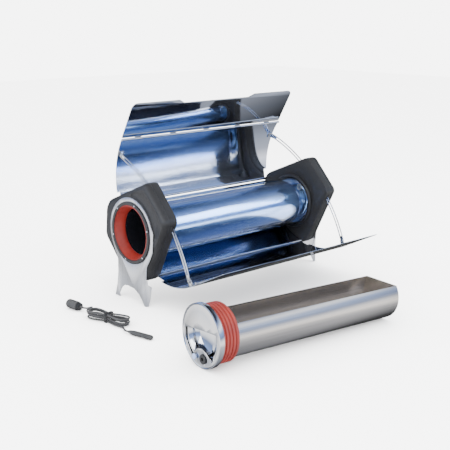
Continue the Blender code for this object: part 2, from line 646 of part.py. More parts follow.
def retaining_ring(name, side):
    """Screwed ring that holds the leg on the hub."""
    x0, x1 = side * RING_X, side * (RING_X + RING_THICKNESS)
    ring = piece(name, turned(name, [(x0, HUB_BORE), (x0, RING_RADIUS), (x1 - side * EDGE, RING_RADIUS),
                                     (x1, RING_RADIUS - EDGE), (x1, HUB_BORE)]), BLACK_PLASTIC, oven)
    for number, place in enumerate(RING_SCREW_SPOTS):
        top = x1 + side * SCREW_HEAD_HEIGHT
        end = x1 - side * RING_SCREW_LENGTH
        screw = turned("ring_screw", [(top, 0.0), (top, SCREW_HEAD), (x1 - side * EDGE, SCREW_HEAD),
                                      (x1 - side * EDGE, SCREW_SHAFT), (end, SCREW_SHAFT), (end, 0.0)],
                       place, SMALL_SEGMENTS)
        boolean(ring, cutter("%s_screw_%d" % (name, number), screw, oven), "UNION")


retaining_ring("mouth_ring", -1)
retaining_ring("end_ring", 1)

mouth_x = -(RING_X + RING_THICKNESS)
seal_out = HUB_BORE - GAP
seal_in = TUBE_MOUTH_X - GAP
piece("mouth_seal", turned("mouth_seal", [
    (mouth_x + SEAL_LIP / 2, seal_out - SEAL_LIP), (mouth_x + SEAL_LIP, seal_out),
    (seal_in - SEAL_HEEL, seal_out), (seal_in, TUBE_RADIUS), (seal_in, BORE_RADIUS),
    (seal_in - SEAL_THROAT, BORE_RADIUS), (mouth_x + SEAL_FLARE, TUBE_RADIUS - SEAL_FLARE_WALL),
    (mouth_x + SEAL_LIP / 2, TUBE_RADIUS - SEAL_LIP / 2)]), SILICONE, oven)


def dome(shoulder, depth, radius, steps=4):
    """Points from a shoulder round to the axis."""
    points = []
    for i in range(steps + 1):
        angle = math.pi / 2 * i / steps
        points.append((shoulder + depth * math.sin(angle), 0.0 if i == steps else radius * math.cos(angle)))
    return points


inside = TUBE_RADIUS - TUBE_WALL
glass = [(TUBE_MOUTH_X, inside), (TUBE_MOUTH_X, TUBE_RADIUS)]
glass += dome(TUBE_SHOULDER_X, TUBE_DOME, TUBE_RADIUS)
glass += dome(TUBE_SHOULDER_X, TUBE_DOME - TUBE_WALL, inside)[::-1]
absorber_outer = BORE_RADIUS + ABSORBER_WALL
absorber = [(TUBE_MOUTH_X, BORE_RADIUS), (TUBE_MOUTH_X, inside - GAP),
            (TUBE_MOUTH_X + MOUTH_JOIN, inside - GAP), (TUBE_MOUTH_X + 2 * MOUTH_JOIN, absorber_outer)]
absorber += dome(ABSORBER_SHOULDER_X, ABSORBER_DOME, absorber_outer)
absorber += dome(ABSORBER_SHOULDER_X, ABSORBER_DOME - ABSORBER_WALL, BORE_RADIUS)[::-1]


def vessel(name, profile, look):
    """A turned vessel whose outer and inner walls both close on the axis."""
    middle = [i for i, p in enumerate(profile) if p[1] == 0.0]
    outer = profile[:middle[0] + 1]
    inner = profile[middle[1]:]
    vertices = []
    faces = []
    rings = []
    for x, radius in outer + inner:
        if radius == 0.0:
            rings.append([len(vertices)] * SEGMENTS)
            vertices.append(spot(x, 0.0, 0.0))
            continue
        rings.append(list(range(len(vertices), len(vertices) + SEGMENTS)))
        vertices += [spot(x, *p) for p in circle((0.0, 0.0), radius, SEGMENTS)]
    for a in range(len(rings)):
        if a == middle[0]:
            continue
        lower, upper = rings[a], rings[(a + 1) % len(rings)]
        for i in range(SEGMENTS):
            j = (i + 1) % SEGMENTS
            corners = []
            for index in (lower[i], lower[j], upper[j], upper[i]):
                if index not in corners:
                    corners.append(index)
            faces.append(tuple(corners))
    return piece(name, closed_mesh(name, vertices, faces), look, oven)


vessel("glass_tube", glass, CLEAR_GLASS)
vessel("absorber_tube", absorber, COATED_GLASS)

lip_share = CLIP_GRIP / ABSORBER_DOME
lip_radius = absorber_outer * math.sqrt(1 - lip_share ** 2) + GAP
piece("tube_clip", turned("tube_clip", [
    (CLIP_X - CLIP_LIP, lip_radius), (CLIP_X - CLIP_LIP, lip_radius + CLIP_SHEET),
    (CLIP_X, lip_radius + CLIP_SHEET), (CLIP_X, inside - GAP), (CLIP_X + CLIP_SHEET, inside - GAP),
    (CLIP_X + CLIP_SHEET, lip_radius)]), STEEL, oven)
getter_place = (GETTER_RISE * math.cos(GETTER_ANGLE), GETTER_RISE * math.sin(GETTER_ANGLE))
getter_x = CLIP_X - GAP
piece("getter_cap", turned("getter_cap", [
    (getter_x, 0.0), (getter_x, GETTER_RADIUS), (getter_x - GETTER_HEIGHT, GETTER_RADIUS - EDGE),
    (getter_x - GETTER_HEIGHT, GETTER_RADIUS * 0.75), (getter_x - GETTER_HEIGHT * 0.6, GETTER_RADIUS * 0.65),
    (getter_x - GETTER_HEIGHT * 0.6, 0.0)], getter_place, BOSS_SEGMENTS), GETTER_METAL, oven)

for word, side in SIDES:
    sleeve_in = TUBE_RADIUS + GAP
    sleeve_out = sleeve_in + COLLAR_SLEEVE
    front = side * (HOUSING_INNER_X - GAP - COLLAR_STANDS_OUT)
    back = side * (HOUSING_INNER_X - GAP)
    sleeve_end = side * (HOUSING_INNER_X + COLLAR_DEPTH)
    collar = [(front, sleeve_in)]
    collar += [(front + side * along, COLLAR_RADIUS - drop) for along, drop in COLLAR_EDGE]
    collar += [(back, COLLAR_RADIUS), (back, sleeve_out), (sleeve_end, sleeve_out), (sleeve_end, sleeve_in)]
    piece(word + "_tube_collar", turned(word + "_tube_collar", collar), BLACK_PLASTIC, oven)

# The far end: a rubber cup that the glass rests in, and a cover held by the ring
cup = []
cup_from = math.asin((HOUSING_INNER_X + COLLAR_DEPTH + GAP - TUBE_SHOULDER_X) / (TUBE_DOME + GAP))
for i in range(4):
    angle = cup_from + (CUP_TO - cup_from) * i / 3
    cup.append((TUBE_SHOULDER_X + (TUBE_DOME + GAP) * math.sin(angle), (TUBE_RADIUS + GAP) * math.cos(angle)))
cup_back = cup[-1][0] + CUP_WALL
cup_profile = cup + [(cup_back, cup[-1][1]), (cup_back, seal_out), (cup[0][0], seal_out)]
piece("tube_end_cup", turned("tube_end_cup", cup_profile), CORD_RUBBER, oven)
cover_x = RING_X + RING_THICKNESS
piece("end_cover", turned("end_cover", [
    (cup_back + GAP, 0.0), (cup_back + GAP, seal_out), (cover_x, seal_out), (cover_x, seal_out - COVER_RIM),
    (cover_x - COVER_DISH, seal_out - COVER_RIM - COVER_SLOPE), (cover_x - COVER_DISH, 0.0)]),
    BLACK_PLASTIC, oven)


# Mirrors

def offset_band(path, thickness):
    """A closed outline round a path of (forward, up) points, half the thickness each way."""
    left = []
    right = []
    for i, point in enumerate(path):
        before = Vector(path[max(i - 1, 0)])
        after = Vector(path[min(i + 1, len(path) - 1)])
        along = (after - before).normalized()
        across = Vector((-along.y, along.x)) * thickness / 2
        left.append(Vector(point) + across)
        right.append(Vector(point) - across)
    return left, right


def sheet(name, path, thickness, half_widths):
    """A bent sheet along X whose half width may change along its path."""
    left, right = offset_band(path, thickness)
    vertices = []
    for a, b, half in zip(left, right, half_widths):
        vertices += [spot(-half, *a), spot(half, *a), spot(half, *b), spot(-half, *b)]
    faces = []
    last = len(path) - 1
    for i in range(last):
        base = 4 * i
        for k in range(4):
            m = (k + 1) % 4
            faces.append((base + k, base + m, base + 4 + m, base + 4 + k))
    faces.append((0, 1, 2, 3))
    faces.append((4 * last, 4 * last + 1, 4 * last + 2, 4 * last + 3))
    return closed_mesh(name, vertices, faces)


back_angles = [BACK_MIRROR_EDGE * (2 * i / BACK_MIRROR_STEPS - 1) for i in range(BACK_MIRROR_STEPS + 1)]
back_half = HOUSING_INNER_X + GROOVE_DEPTH
back_path = [arc_point(a, MIRROR_MIDDLE) for a in back_angles]
back_mirror = piece("back_mirror", sheet("back_mirror", back_path, SHEET, [back_half] * len(back_angles)),
                    MIRROR, oven)
for word, side in SIDES:
    room = rod("collar_room", (0.0, 0.0), COLLAR_RADIUS + GAP,
               side * (HOUSING_INNER_X - COLLAR_STANDS_OUT - 2 * GAP), side * (back_half + OVER), SEGMENTS)
    boolean(back_mirror, cutter(word + "_collar_room", room, oven), "DIFFERENCE")

LEVELS = (("upper", 1), ("lower", -1))
reflectors = {}
extensions = {}
struts = {}


def curl(centre, radius, start, turn, steps=9):
    """Points of a rolled edge, from its free end to where the sheet leaves it."""
    return [(centre[0] + radius * math.cos(start + turn * (1 - i / steps)),
             centre[1] + radius * math.sin(start + turn * (1 - i / steps))) for i in range(steps + 1)]


def reflector(word, level):
    """Curved mirror with a rolled edge on each of its two rods."""
    holder = empty(word + "_reflector_axis", spot(0.0, HINGE[0], level * HINGE[1]), oven)
    reflectors[level] = holder
    shift = Vector(HINGE)
    low_curl = curl(HINGE, HINGE_ROD + GAP + SHEET / 2, math.pi - HINGE_ANGLE, CURL_TURN)
    high_curl = curl(FOLD_HINGE, FOLD_ROD + GAP + SHEET / 2, math.pi - PANEL_END_ANGLE, -CURL_TURN)[::-1]
    steps = 14
    angles = [HINGE_ANGLE + (PANEL_END_ANGLE - HINGE_ANGLE) * i / steps for i in range(1, steps)]
    path = low_curl + [arc_point(a, MIRROR_MIDDLE) for a in angles] + high_curl
    widths = []
    for point in path:
        angle = math.atan2(point[1], MIRROR_CENTRE - point[0])
        share = min(max((angle - HINGE_ANGLE) / (PANEL_END_ANGLE - HINGE_ANGLE), 0.0), 1.0)
        widths.append(PANEL_HALF_WIDTH_LOW + (PANEL_HALF_WIDTH_HIGH - PANEL_HALF_WIDTH_LOW) * share)
    path = [Vector(p) - shift for p in path]
    name = word + "_reflector"
    panel = piece(name, sheet(name, mirrored(level, path), SHEET, widths), MIRROR, holder)
    notch_angles = [NOTCH_START + (NOTCH_ANGLE - NOTCH_START) * i / 4 for i in range(5)]
    notch = [arc_point(a, MIRROR_RADIUS - NOTCH_REACH) for a in notch_angles]
    notch += [arc_point(a, MIRROR_RADIUS + NOTCH_REACH) for a in reversed(notch_angles)]
    notch = mirrored(level, [Vector(p) - shift for p in notch])
    for side in (-1, 1):
        tool = bar(name + "_notch", notch, side * NOTCH_HALF_WIDTH, side * (PANEL_HALF_WIDTH_HIGH + OVER))
        boolean(panel, cutter("%s_notch_%d" % (name, side), tool, holder), "DIFFERENCE")
    along = Vector((math.sin(PANEL_END_ANGLE), math.cos(PANEL_END_ANGLE)))
    across = Vector((-along.y, along.x))
    centre = Vector(FOLD_HINGE) - shift
    window = [centre + along * a * WINDOW_REACH + across * b * WINDOW_REACH
              for a, b in ((-1, -1), (1, -1), (1, 1), (-1, 1))]
    for number, x in enumerate(KNUCKLE_SPOTS):
        half = KNUCKLE_LENGTH / 2 + 2 * GAP
        tool = bar(name + "_window", mirrored(level, window), x - half, x + half)
        boolean(panel, cutter("%s_window_%d" % (name, number), tool, holder), "DIFFERENCE")
    return panel, shift


def bracket_frame(foot):
    """Outward and sideways directions at a strut's foot, and its distance from the arcs' centre."""
    reach = Vector((foot[0] - MIRROR_CENTRE, foot[1]))
    outward = reach.normalized()
    return outward, Vector((outward.y, -outward.x)), reach.length


def struts_and_brackets(word, level, panel, shift):
    """The two struts of one mirror with their brackets, pins and screws."""
    foot, entry, strut_x = STRUTS[level]
    outward, sideways, reach = bracket_frame(foot)
    holder = reflectors[level]
    centre = Vector((MIRROR_CENTRE, 0.0)) - shift
    pin_place = Vector(foot) - shift
    pin_place = mirrored(level, [pin_place])[0]
    ear_out = strut_x - STRUT_SHEET / 2 - GAP
    ear_in = ear_out - BRACKET_SHEET
    flange_in = ear_out - BRACKET_FLANGE
    base_out = math.sqrt((MIRROR_RADIUS - GAP) ** 2 - (BRACKET_LENGTH / 2) ** 2) - GAP / 2
    base_in = base_out - BRACKET_SHEET
    top = reach - BRACKET_TOP
    screw_x = (flange_in + ear_in) / 2 - BRACKET_SCREW_SHIFT
    for side_word, side in SIDES:
        profile = [(flange_in, base_out), (ear_out, base_out), (ear_out, top), (ear_in, top),
                   (ear_in, base_in), (flange_in, base_in)]
        loops = []
        for end in (-1, 1):
            loop = []
            for x, distance in profile:
                half = BRACKET_TOP if distance == top else BRACKET_LENGTH / 2
                place = centre + outward * distance + sideways * half * end
                loop.append(spot(side * x, *mirrored(level, [place])[0]))
            loops.append(loop)
        name = "%s_bracket_%s" % (word, side_word)
        bracket = piece(name, loft(name, loops), STEEL, holder)
        hole = rod(name + "_hole", pin_place, STRUT_PIN + GAP, side * (ear_in - OVER),
                   side * (ear_out + OVER), SMALL_SEGMENTS)
        boolean(bracket, cutter(name + "_pin_hole", hole, holder), "DIFFERENCE")
        head_in = side * (ear_in - GAP)
        head_out = side * (strut_x + STRUT_SHEET / 2 + GAP)
        pin_name = "%s_strut_pin_%s" % (word, side_word)
        piece(pin_name, turned(pin_name, [
            (head_in - side * PIN_HEAD_HEIGHT, 0.0), (head_in - side * PIN_HEAD_HEIGHT, PIN_HEAD),
            (head_in, PIN_HEAD), (head_in, STRUT_PIN), (head_out, STRUT_PIN), (head_out, PIN_HEAD),
            (head_out + side * PIN_HEAD_HEIGHT, PIN_HEAD), (head_out + side * PIN_HEAD_HEIGHT, 0.0)],
            pin_place, SMALL_SEGMENTS), STEEL, holder)
        under = base_in + GAP
        screw = radial_pin(((base_in - SCREW_HEAD_HEIGHT, SCREW_HEAD), (under, SCREW_HEAD),
                            (under, SCREW_SHAFT), (base_in + BRACKET_SCREW_LENGTH, SCREW_SHAFT)),
                           side * screw_x, centre, outward, sideways, level)
        boolean(bracket, cutter(name + "_screw", screw, holder), "UNION")
        tool_profile = ((base_out + GAP / 2, SCREW_SHAFT + GAP),
                        (base_in + BRACKET_SCREW_LENGTH + OVER, SCREW_SHAFT + GAP))
        tool = radial_pin(tool_profile, side * screw_x, centre, outward, sideways, level)
        drill = cutter(name + "_screw_hole", tool, holder)
        boolean(panel, drill, "DIFFERENCE")
    strut_holder = empty(word + "_strut_axis", spot(0.0, *pin_place), holder)
    struts[level] = strut_holder
    chord = Vector(entry) - Vector(foot)
    radius = chord.length ** 2 / (8 * STRUT_BOW)
    start = math.atan2(chord.y, chord.x) + math.asin(chord.length / (2 * radius))
    length = 2 * radius * math.asin(chord.length / (2 * radius)) + STRUT_TAIL

    def band(s, across):
        """A point so far along the bowed strut and to its side."""
        angle = start - s / radius
        along = Vector((radius * (math.sin(start) - math.sin(angle)),
                        radius * (math.cos(angle) - math.cos(start))))
        normal = Vector((-math.sin(angle), math.cos(angle)))
        return along + normal * across

    def stadium(s_from, s_to, half, runs=7, ends=4):
        """A long outline with round ends that follows the strut's bow."""
        points = [band(s_from + (s_to - s_from) * i / runs, half) for i in range(runs + 1)]
        for i in range(1, ends):
            angle = math.pi / 2 - math.pi * i / ends
            points.append(band(s_to + half * math.cos(angle), half * math.sin(angle)))
        points += [band(s_to - (s_to - s_from) * i / runs, -half) for i in range(runs + 1)]
        for i in range(1, ends):
            angle = -math.pi / 2 - math.pi * i / ends
            points.append(band(s_from + half * math.cos(angle), half * math.sin(angle)))
        return mirrored(level, points)

    outer = stadium(0.0, length, STRUT_WIDTH / 2)
    slot = stadium(SLOT_FROM_FOOT, length - SLOT_FROM_TAIL, STRUT_SLOT / 2)
    for side_word, side in SIDES:
        name = "%s_strut_%s" % (word, side_word)
        x0 = side * (strut_x - STRUT_SHEET / 2)
        x1 = side * (strut_x + STRUT_SHEET / 2)
        loops = [[spot(x, *p) for p in loop]
                 for x, loop in ((x0, outer), (x1, outer), (x1, slot), (x0, slot))]
        strut = piece(name, loft(name, loops, ring=True), STEEL, strut_holder)
        hole = rod(name + "_hole", (0.0, 0.0), STRUT_PIN + GAP, x0 - side * OVER, x1 + side * OVER,
                   SMALL_SEGMENTS)
        boolean(strut, cutter(name + "_pin_hole", hole, strut_holder), "DIFFERENCE")


def radial_pin(profile, x, centre, outward, sideways, level, segments=SMALL_SEGMENTS):
    """A round piece that stands square to the mirror; profile is (distance from centre, radius)."""
    loops = []
    for distance, radius in profile:
        loop = []
        for i in range(segments):
            angle = 2 * math.pi * i / segments
            place = centre + outward * distance + sideways * radius * math.sin(angle)
            loop.append(spot(x + radius * math.cos(angle), *mirrored(level, [place])[0]))
        loops.append(loop)
    return loft("radial_pin", loops)


def extension(word, level, shift):
    """Flat leaf with its hinge strip, on the rod at the mirror's outer edge."""
    place = Vector(FOLD_HINGE) - shift
    holder = empty(word + "_extension_axis", spot(0.0, *mirrored(level, [place])[0]), reflectors[level])
    extensions[level] = holder
    along = Vector((math.cos(EXTENSION_ANGLE), math.sin(EXTENSION_ANGLE)))
    across = Vector((-along.y, along.x))
    knuckle = FOLD_ROD + GAP + STRIP_SHEET / 2
    sheet_from = knuckle + STRIP_SHEET / 2 + GAP
    half = PANEL_HALF_WIDTH_HIGH
    corner = CORNER_RADIUS
    outline = [(-half, EXTENSION_START), (half, EXTENSION_START)]
    outline += circle((half - corner, EXTENSION_REACH - corner), corner, 6, 0.0, math.pi / 2)
    outline += [(TAB_HALF_WIDTH, EXTENSION_REACH), (MIDDLE_HALF_WIDTH, EXTENSION_MIDDLE_REACH),
                (-MIDDLE_HALF_WIDTH, EXTENSION_MIDDLE_REACH), (-TAB_HALF_WIDTH, EXTENSION_REACH)]
    outline += circle((corner - half, EXTENSION_REACH - corner), corner, 6, math.pi / 2, math.pi)
    loops = []
    for depth in (sheet_from, sheet_from + SHEET):
        loop = []
        for x, s in outline:
            loop.append(spot(x, *mirrored(level, [along * s + across * depth])[0]))
        loops.append(loop)
    name = word + "_extension"
    piece(name, loft(name, loops), MIRROR, holder)
    # The strip: a bright leaf rolled round the rod, cut back between its knuckles
    rolled = curl((0.0, 0.0), knuckle, math.pi / 2, CURL_TURN)
    path = [Vector((p[0], p[1])) for p in rolled] + [Vector((STRIP_WIDTH, knuckle))]
    path = [along * p.x + across * p.y for p in path]
    name = word + "_hinge_strip"
    strip = piece(name, sheet(name, mirrored(level, path), STRIP_SHEET, [half - STRIP_SHORT] * len(path)),
                  STEEL, holder)
    reach = knuckle + STRIP_SHEET + OVER
    corners = ((-reach, -reach), (STRIP_CUT_BACK, -reach), (STRIP_CUT_BACK, reach), (-reach, reach))
    cut = [along * a + across * b for a, b in corners]
    edges = [-half] + [x + s * KNUCKLE_LENGTH / 2 for x in KNUCKLE_SPOTS for s in (-1, 1)] + [half]
    for number in range(0, len(edges), 2):
        low = edges[number] - (OVER if number == 0 else 0.0)
        high = edges[number + 1] + (OVER if number == len(edges) - 2 else 0.0)
        tool = bar(name + "_cut", mirrored(level, cut), low, high)
        boolean(strip, cutter("%s_cut_%d" % (name, number), tool, holder), "DIFFERENCE")


for word, level in LEVELS:
    panel, shift = reflector(word, level)
    struts_and_brackets(word, level, panel, shift)
    extension(word, level, shift)
    rod_half = HOUSING_INNER_X + ROD_IN_SHELL
    hinge_place = (HINGE[0], level * HINGE[1])
    piece(word + "_hinge_rod", rod(word + "_hinge_rod", hinge_place, HINGE_ROD, -rod_half, rod_half),
          STEEL, oven)
    fold_place = mirrored(level, [Vector(FOLD_HINGE) - shift])[0]
    fold_half = PANEL_HALF_WIDTH_HIGH - FOLD_ROD_SHORT
    piece(word + "_fold_rod", rod(word + "_fold_rod", fold_place, FOLD_ROD, -fold_half, fold_half,
                                  ROD_SEGMENTS), STEEL, reflectors[level])


# Stand

def leg(name, side):
    """Leg plate with the ring that goes round the hub, an arch and a folded front edge."""
    ring = circle((0.0, AXIS_HEIGHT), LEG_RING, 22, LEG_RING_FROM, LEG_RING_TO)
    outline = list(reversed(LEG_REAR)) + ring + list(reversed(LEG_FRONT)) + list(reversed(LEG_ARCH))
    loops = [[(side * x, y, z) for y, z in outline] for x in (LEG_X, LEG_X + PLATE)]
    plate = piece(name, loft(name, loops), STEEL, stand)
    bore = turned(name + "_bore", [(side * (LEG_X - OVER), 0.0), (side * (LEG_X - OVER), LEG_BORE),
                                   (side * (LEG_X + PLATE + OVER), LEG_BORE),
                                   (side * (LEG_X + PLATE + OVER), 0.0)], segments=BORE_SEGMENTS)
    bore.transform(Matrix.Translation((0.0, 0.0, AXIS_HEIGHT)))
    boolean(plate, cutter(name + "_bore", bore, stand), "DIFFERENCE")
    front = dict((z, y) for y, z in LEG_FRONT)
    heights = sorted(front)
    loops = []
    for height, width in FLANGE_POINTS:
        above = next(h for h in heights if h >= height)
        below = max(h for h in heights if h <= height)
        share = 0.0 if above == below else (height - below) / (above - below)
        y = front[below] + (front[above] - front[below]) * share
        x_in = side * (LEG_X - width)
        x_out = side * (LEG_X + PLATE / 2)
        loops.append([(x_in, y, height), (x_out, y, height), (x_out, y + PLATE, height),
                      (x_in, y + PLATE, height)])
    flange = loft(name + "_flange", loops)
    boolean(plate, cutter(name + "_flange", flange, stand), "UNION")


leg("left_leg", -1)
leg("right_leg", 1)


# Tray

tray = empty("tray_axis", (TRAY_X, TRAY_Y, DISC_RADIUS * math.cos(TRAY_PITCH)
                           + DISC_RIM_DEPTH * math.sin(TRAY_PITCH)), stand)
tray.rotation_euler = (0.0, TRAY_PITCH, TRAY_YAW)

face_back = DISC_FACE_AT + DISC_FACE + DISC_CORNER
disc = piece("tray_disc", turned("tray_disc", [
    (-DISC_BULGE, 0.0), (-DISC_BULGE * 0.72, DISC_CROWN), (-DISC_BULGE * 0.10, DISC_FOOT),
    (DISC_FACE_AT, DISC_RADIUS - DISC_RIM_WALL), (0.0, DISC_RADIUS - DISC_RIM_WALL / 2),
    (EDGE, DISC_RADIUS), (DISC_RIM_DEPTH, DISC_RADIUS), (DISC_RIM_DEPTH, DISC_RADIUS - DISC_RIM_WALL / 2),
    (face_back, DISC_RADIUS - DISC_RIM_WALL), (DISC_FACE - DISC_BULGE * 0.10, DISC_FOOT),
    (DISC_FACE - DISC_BULGE * 0.72, DISC_CROWN), (DISC_FACE - DISC_BULGE, 0.0)],
    segments=DISC_SEGMENTS), STEEL, tray)


def face_spot(right, up):
    """A point of the disc's face: right and up as seen from outside, as (forward, up)."""
    return (right * math.cos(DISC_TURN) - up * math.sin(DISC_TURN),
            right * math.sin(DISC_TURN) + up * math.cos(DISC_TURN))


def face_depth(radius):
    """How far the domed face stands out in front of the rim, at a radius."""
    share = min(max((DISC_FOOT - radius) / (DISC_FOOT - DISC_CROWN), 0.0), 1.0)
    return DISC_BULGE * (0.10 + 0.62 * share)


def meeting_angle():
    """Where the opening's side meets the boss, as an angle on the opening's circle."""
    cosine = (OPENING_RADIUS ** 2 + BOSS_DROP ** 2 - BOSS_RADIUS ** 2) / (2 * OPENING_RADIUS * BOSS_DROP)
    return math.acos(cosine)


edge_height = OPENING_TOP - OPENING_ARCH
edge_angle = math.asin(edge_height / OPENING_RADIUS)
edge_half = OPENING_RADIUS * math.cos(edge_angle)
opening = []
for i in range(1, 8):
    across = edge_half * (1 - i / 4)
    opening.append((across, edge_height + OPENING_ARCH * (1 - (across / edge_half) ** 2)))
meet = meeting_angle()
opening += circle((0.0, 0.0), OPENING_RADIUS, 8, math.pi - edge_angle, 1.5 * math.pi - meet)
boss_side = math.asin(OPENING_RADIUS * math.sin(meet) / BOSS_RADIUS)
opening += circle((0.0, -BOSS_DROP), BOSS_RADIUS, 9, math.pi / 2 + boss_side, math.pi / 2 - boss_side)[1:-1]
opening += circle((0.0, 0.0), OPENING_RADIUS, 8, 1.5 * math.pi + meet, 2 * math.pi + edge_angle)
opening = [face_spot(*p) for p in opening]
cut_from = -DISC_BULGE - OVER
cut_to = face_back + OVER
finger_cut = bar("finger_opening", opening, cut_from, cut_to)
boolean(disc, cutter("finger_opening", finger_cut, tray), "DIFFERENCE")

socket_place = face_spot(*SOCKET_SPOT)
button_place = face_spot(*BUTTON_SPOT)
for name, place, radius in (("socket_hole", socket_place, SOCKET_BODY + GAP),
                            ("button_hole", button_place, BUTTON_STEM + GAP)):
    hole = rod(name, place, radius, cut_from, cut_to, BOSS_SEGMENTS)
    boolean(disc, cutter(name, hole, tray), "DIFFERENCE")

cup_lip = face_back + GAP
cup_wall = GRIP_CUP_WALL
cup_shoulder = STOPPER_START - GAP
cup_round = cup_shoulder + GRIP_CUP_STRAIGHT
grip = [(cup_lip, GRIP_CUP_RADIUS), (cup_lip + cup_wall, GRIP_CUP_RADIUS),
        (cup_lip + cup_wall, GRIP_CUP_NECK + GRIP_CUP_FLARE), (cup_shoulder, GRIP_CUP_NECK)]
depths = 3
for i in range(depths + 1):
    angle = math.pi / 2 * i / depths
    radius = 0.0 if i == depths else GRIP_CUP_NECK * math.cos(angle)
    grip.append((cup_round + (GRIP_CUP_DEPTH - cup_round) * math.sin(angle), radius))
inner_grip = []
for i in range(depths + 1):
    angle = math.pi / 2 * i / depths
    radius = 0.0 if i == depths else (GRIP_CUP_NECK - cup_wall) * math.cos(angle)
    deep = GRIP_CUP_DEPTH - cup_wall - cup_round
    inner_grip.append((cup_round + deep * math.sin(angle), radius))
inner_grip = inner_grip[::-1] + [(cup_shoulder, GRIP_CUP_NECK - cup_wall),
                                 (cup_lip, GRIP_CUP_NECK + GRIP_CUP_FLARE - cup_wall)]
grip_profile = grip + inner_grip


def cup_piece(name, profile, look, holder):
    """A turned cup whose outer and inner walls both close on the axis."""
    split = [i for i, p in enumerate(profile) if p[1] == 0.0]
    ordered = profile[split[1]:] + profile[:split[0] + 1]
    return piece(name, turned(name, ordered), look, holder)


grip_cup = cup_piece("grip_cup", grip_profile, BLACK_METAL, tray)
for name, place, radius in (("socket_pass", socket_place, SOCKET_BODY + GAP),
                            ("button_pass", button_place, BUTTON_STEM + BUTTON_ROOM)):
    hole = rod(name, place, radius, cup_lip - OVER, GRIP_CUP_DEPTH, BOSS_SEGMENTS)
    boolean(grip_cup, cutter(name, hole, tray), "DIFFERENCE")

rim_back = -face_depth(math.hypot(*SOCKET_SPOT) - SOCKET_RADIUS) - GAP / 2
rim_front = rim_back - SOCKET_RIM
piece("power_socket", turned("power_socket", [
    (rim_front + SOCKET_BORE_DEPTH, 0.0), (rim_front + SOCKET_BORE_DEPTH, SOCKET_BORE),
    (rim_front, SOCKET_BORE), (rim_front, SOCKET_RADIUS - EDGE), (rim_front + EDGE, SOCKET_RADIUS),
    (rim_back, SOCKET_RADIUS), (rim_back, SOCKET_BODY), (rim_front + SOCKET_LENGTH, SOCKET_BODY),
    (rim_front + SOCKET_LENGTH, 0.0)], socket_place, SEGMENTS), BLACK_PLASTIC, tray)
button_back = rim_back - BUTTON_TRAVEL
stem_end = cup_lip + BUTTON_STEM_END
piece("power_button", turned("power_button", [
    (button_back - BUTTON_HEIGHT, 0.0), (button_back - BUTTON_HEIGHT, BUTTON_RADIUS - EDGE),
    (button_back - BUTTON_HEIGHT + EDGE, BUTTON_RADIUS), (button_back, BUTTON_RADIUS),
    (button_back, BUTTON_STEM), (stem_end, BUTTON_STEM), (stem_end, 0.0)], button_place, BOSS_SEGMENTS),
    BUTTON_BLUE, tray)

stopper_end = STOPPER_START + STOPPER_LENGTH
rib_pitch = STOPPER_LENGTH / STOPPER_RIBS
stopper = [(STOPPER_START, STOPPER_BORE), (STOPPER_START, STOPPER_GROOVE)]
for i in range(STOPPER_RIBS):
    start = STOPPER_START + rib_pitch * i
    stopper += [(start + rib_pitch * RIB_RISE, STOPPER_RIB), (start + rib_pitch * RIB_FALL, STOPPER_RIB),
                (start + rib_pitch * RIB_END, STOPPER_GROOVE)]
stopper += [(stopper_end, STOPPER_GROOVE), (stopper_end, STOPPER_BORE)]
piece("tray_stopper", turned("tray_stopper", stopper, segments=SEGMENTS), SILICONE, tray)

cup_out = STOPPER_BORE - GAP
plate_at = stopper_end + GAP
plate_end = plate_at + BULKHEAD_WALL
bulkhead = [(plate_end, 0.0), (plate_end, TROUGH_RADIUS), (plate_at, TROUGH_RADIUS), (plate_at, cup_out),
            (STOPPER_START, cup_out), (STOPPER_START, cup_out - BULKHEAD_WALL),
            (plate_at, cup_out - BULKHEAD_WALL), (plate_at, 0.0)]
bulkhead_piece = piece("tray_bulkhead", turned("tray_bulkhead", bulkhead), STEEL, tray)

# The trough: about two thirds of a pipe with a flat end wall
trough_start = plate_end + GAP
steps = TROUGH_STEPS


def trough_arc(radius, x):
    """Points across the trough from rim to rim."""
    rim = math.asin(TROUGH_RIM / radius)
    first = math.pi - rim
    sweep = math.pi + 2 * rim
    angles = [first + sweep * i / steps for i in range(steps + 1)]
    return [spot(x, radius * math.cos(a), radius * math.sin(a)) for a in angles]


bore_radius = TROUGH_RADIUS - TROUGH_WALL
points = (trough_arc(TROUGH_RADIUS, trough_start) + trough_arc(bore_radius, trough_start)
          + trough_arc(TROUGH_RADIUS, TROUGH_END) + trough_arc(bore_radius, TROUGH_END - TROUGH_WALL))
count = steps + 1
faces = []
for i in range(steps):
    near_out, near_in, far_out, far_in = i, count + i, 2 * count + i, 3 * count + i
    faces += [(near_out, near_out + 1, far_out + 1, far_out), (near_in, near_in + 1, far_in + 1, far_in),
              (near_out, near_out + 1, near_in + 1, near_in)]
faces.append(tuple(range(2 * count, 3 * count)))
faces.append(tuple(range(3 * count, 4 * count)))
faces.append((0, 2 * count, 3 * count, count))
faces.append((steps, 2 * count + steps, 3 * count + steps, count + steps))
faces.append((2 * count, 2 * count + steps, 3 * count + steps, 3 * count))
piece("tray_trough", closed_mesh("tray_trough", points, faces), STEEL, tray)

# The heating rod, fixed in the bulkhead, lies just above the trough's floor
heater_place = (0.0, -HEATER_DROP)
heater_start = plate_at
heater_end = heater_start + HEATER_LENGTH
piece("heating_rod", turned("heating_rod", [
    (heater_start, 0.0), (heater_start, HEATER_RADIUS), (heater_end - HEATER_TIP, HEATER_RADIUS),
    (heater_end, HEATER_RADIUS - HEATER_TIP), (heater_end, 0.0)], heater_place, ROD_SEGMENTS), STEEL, tray)

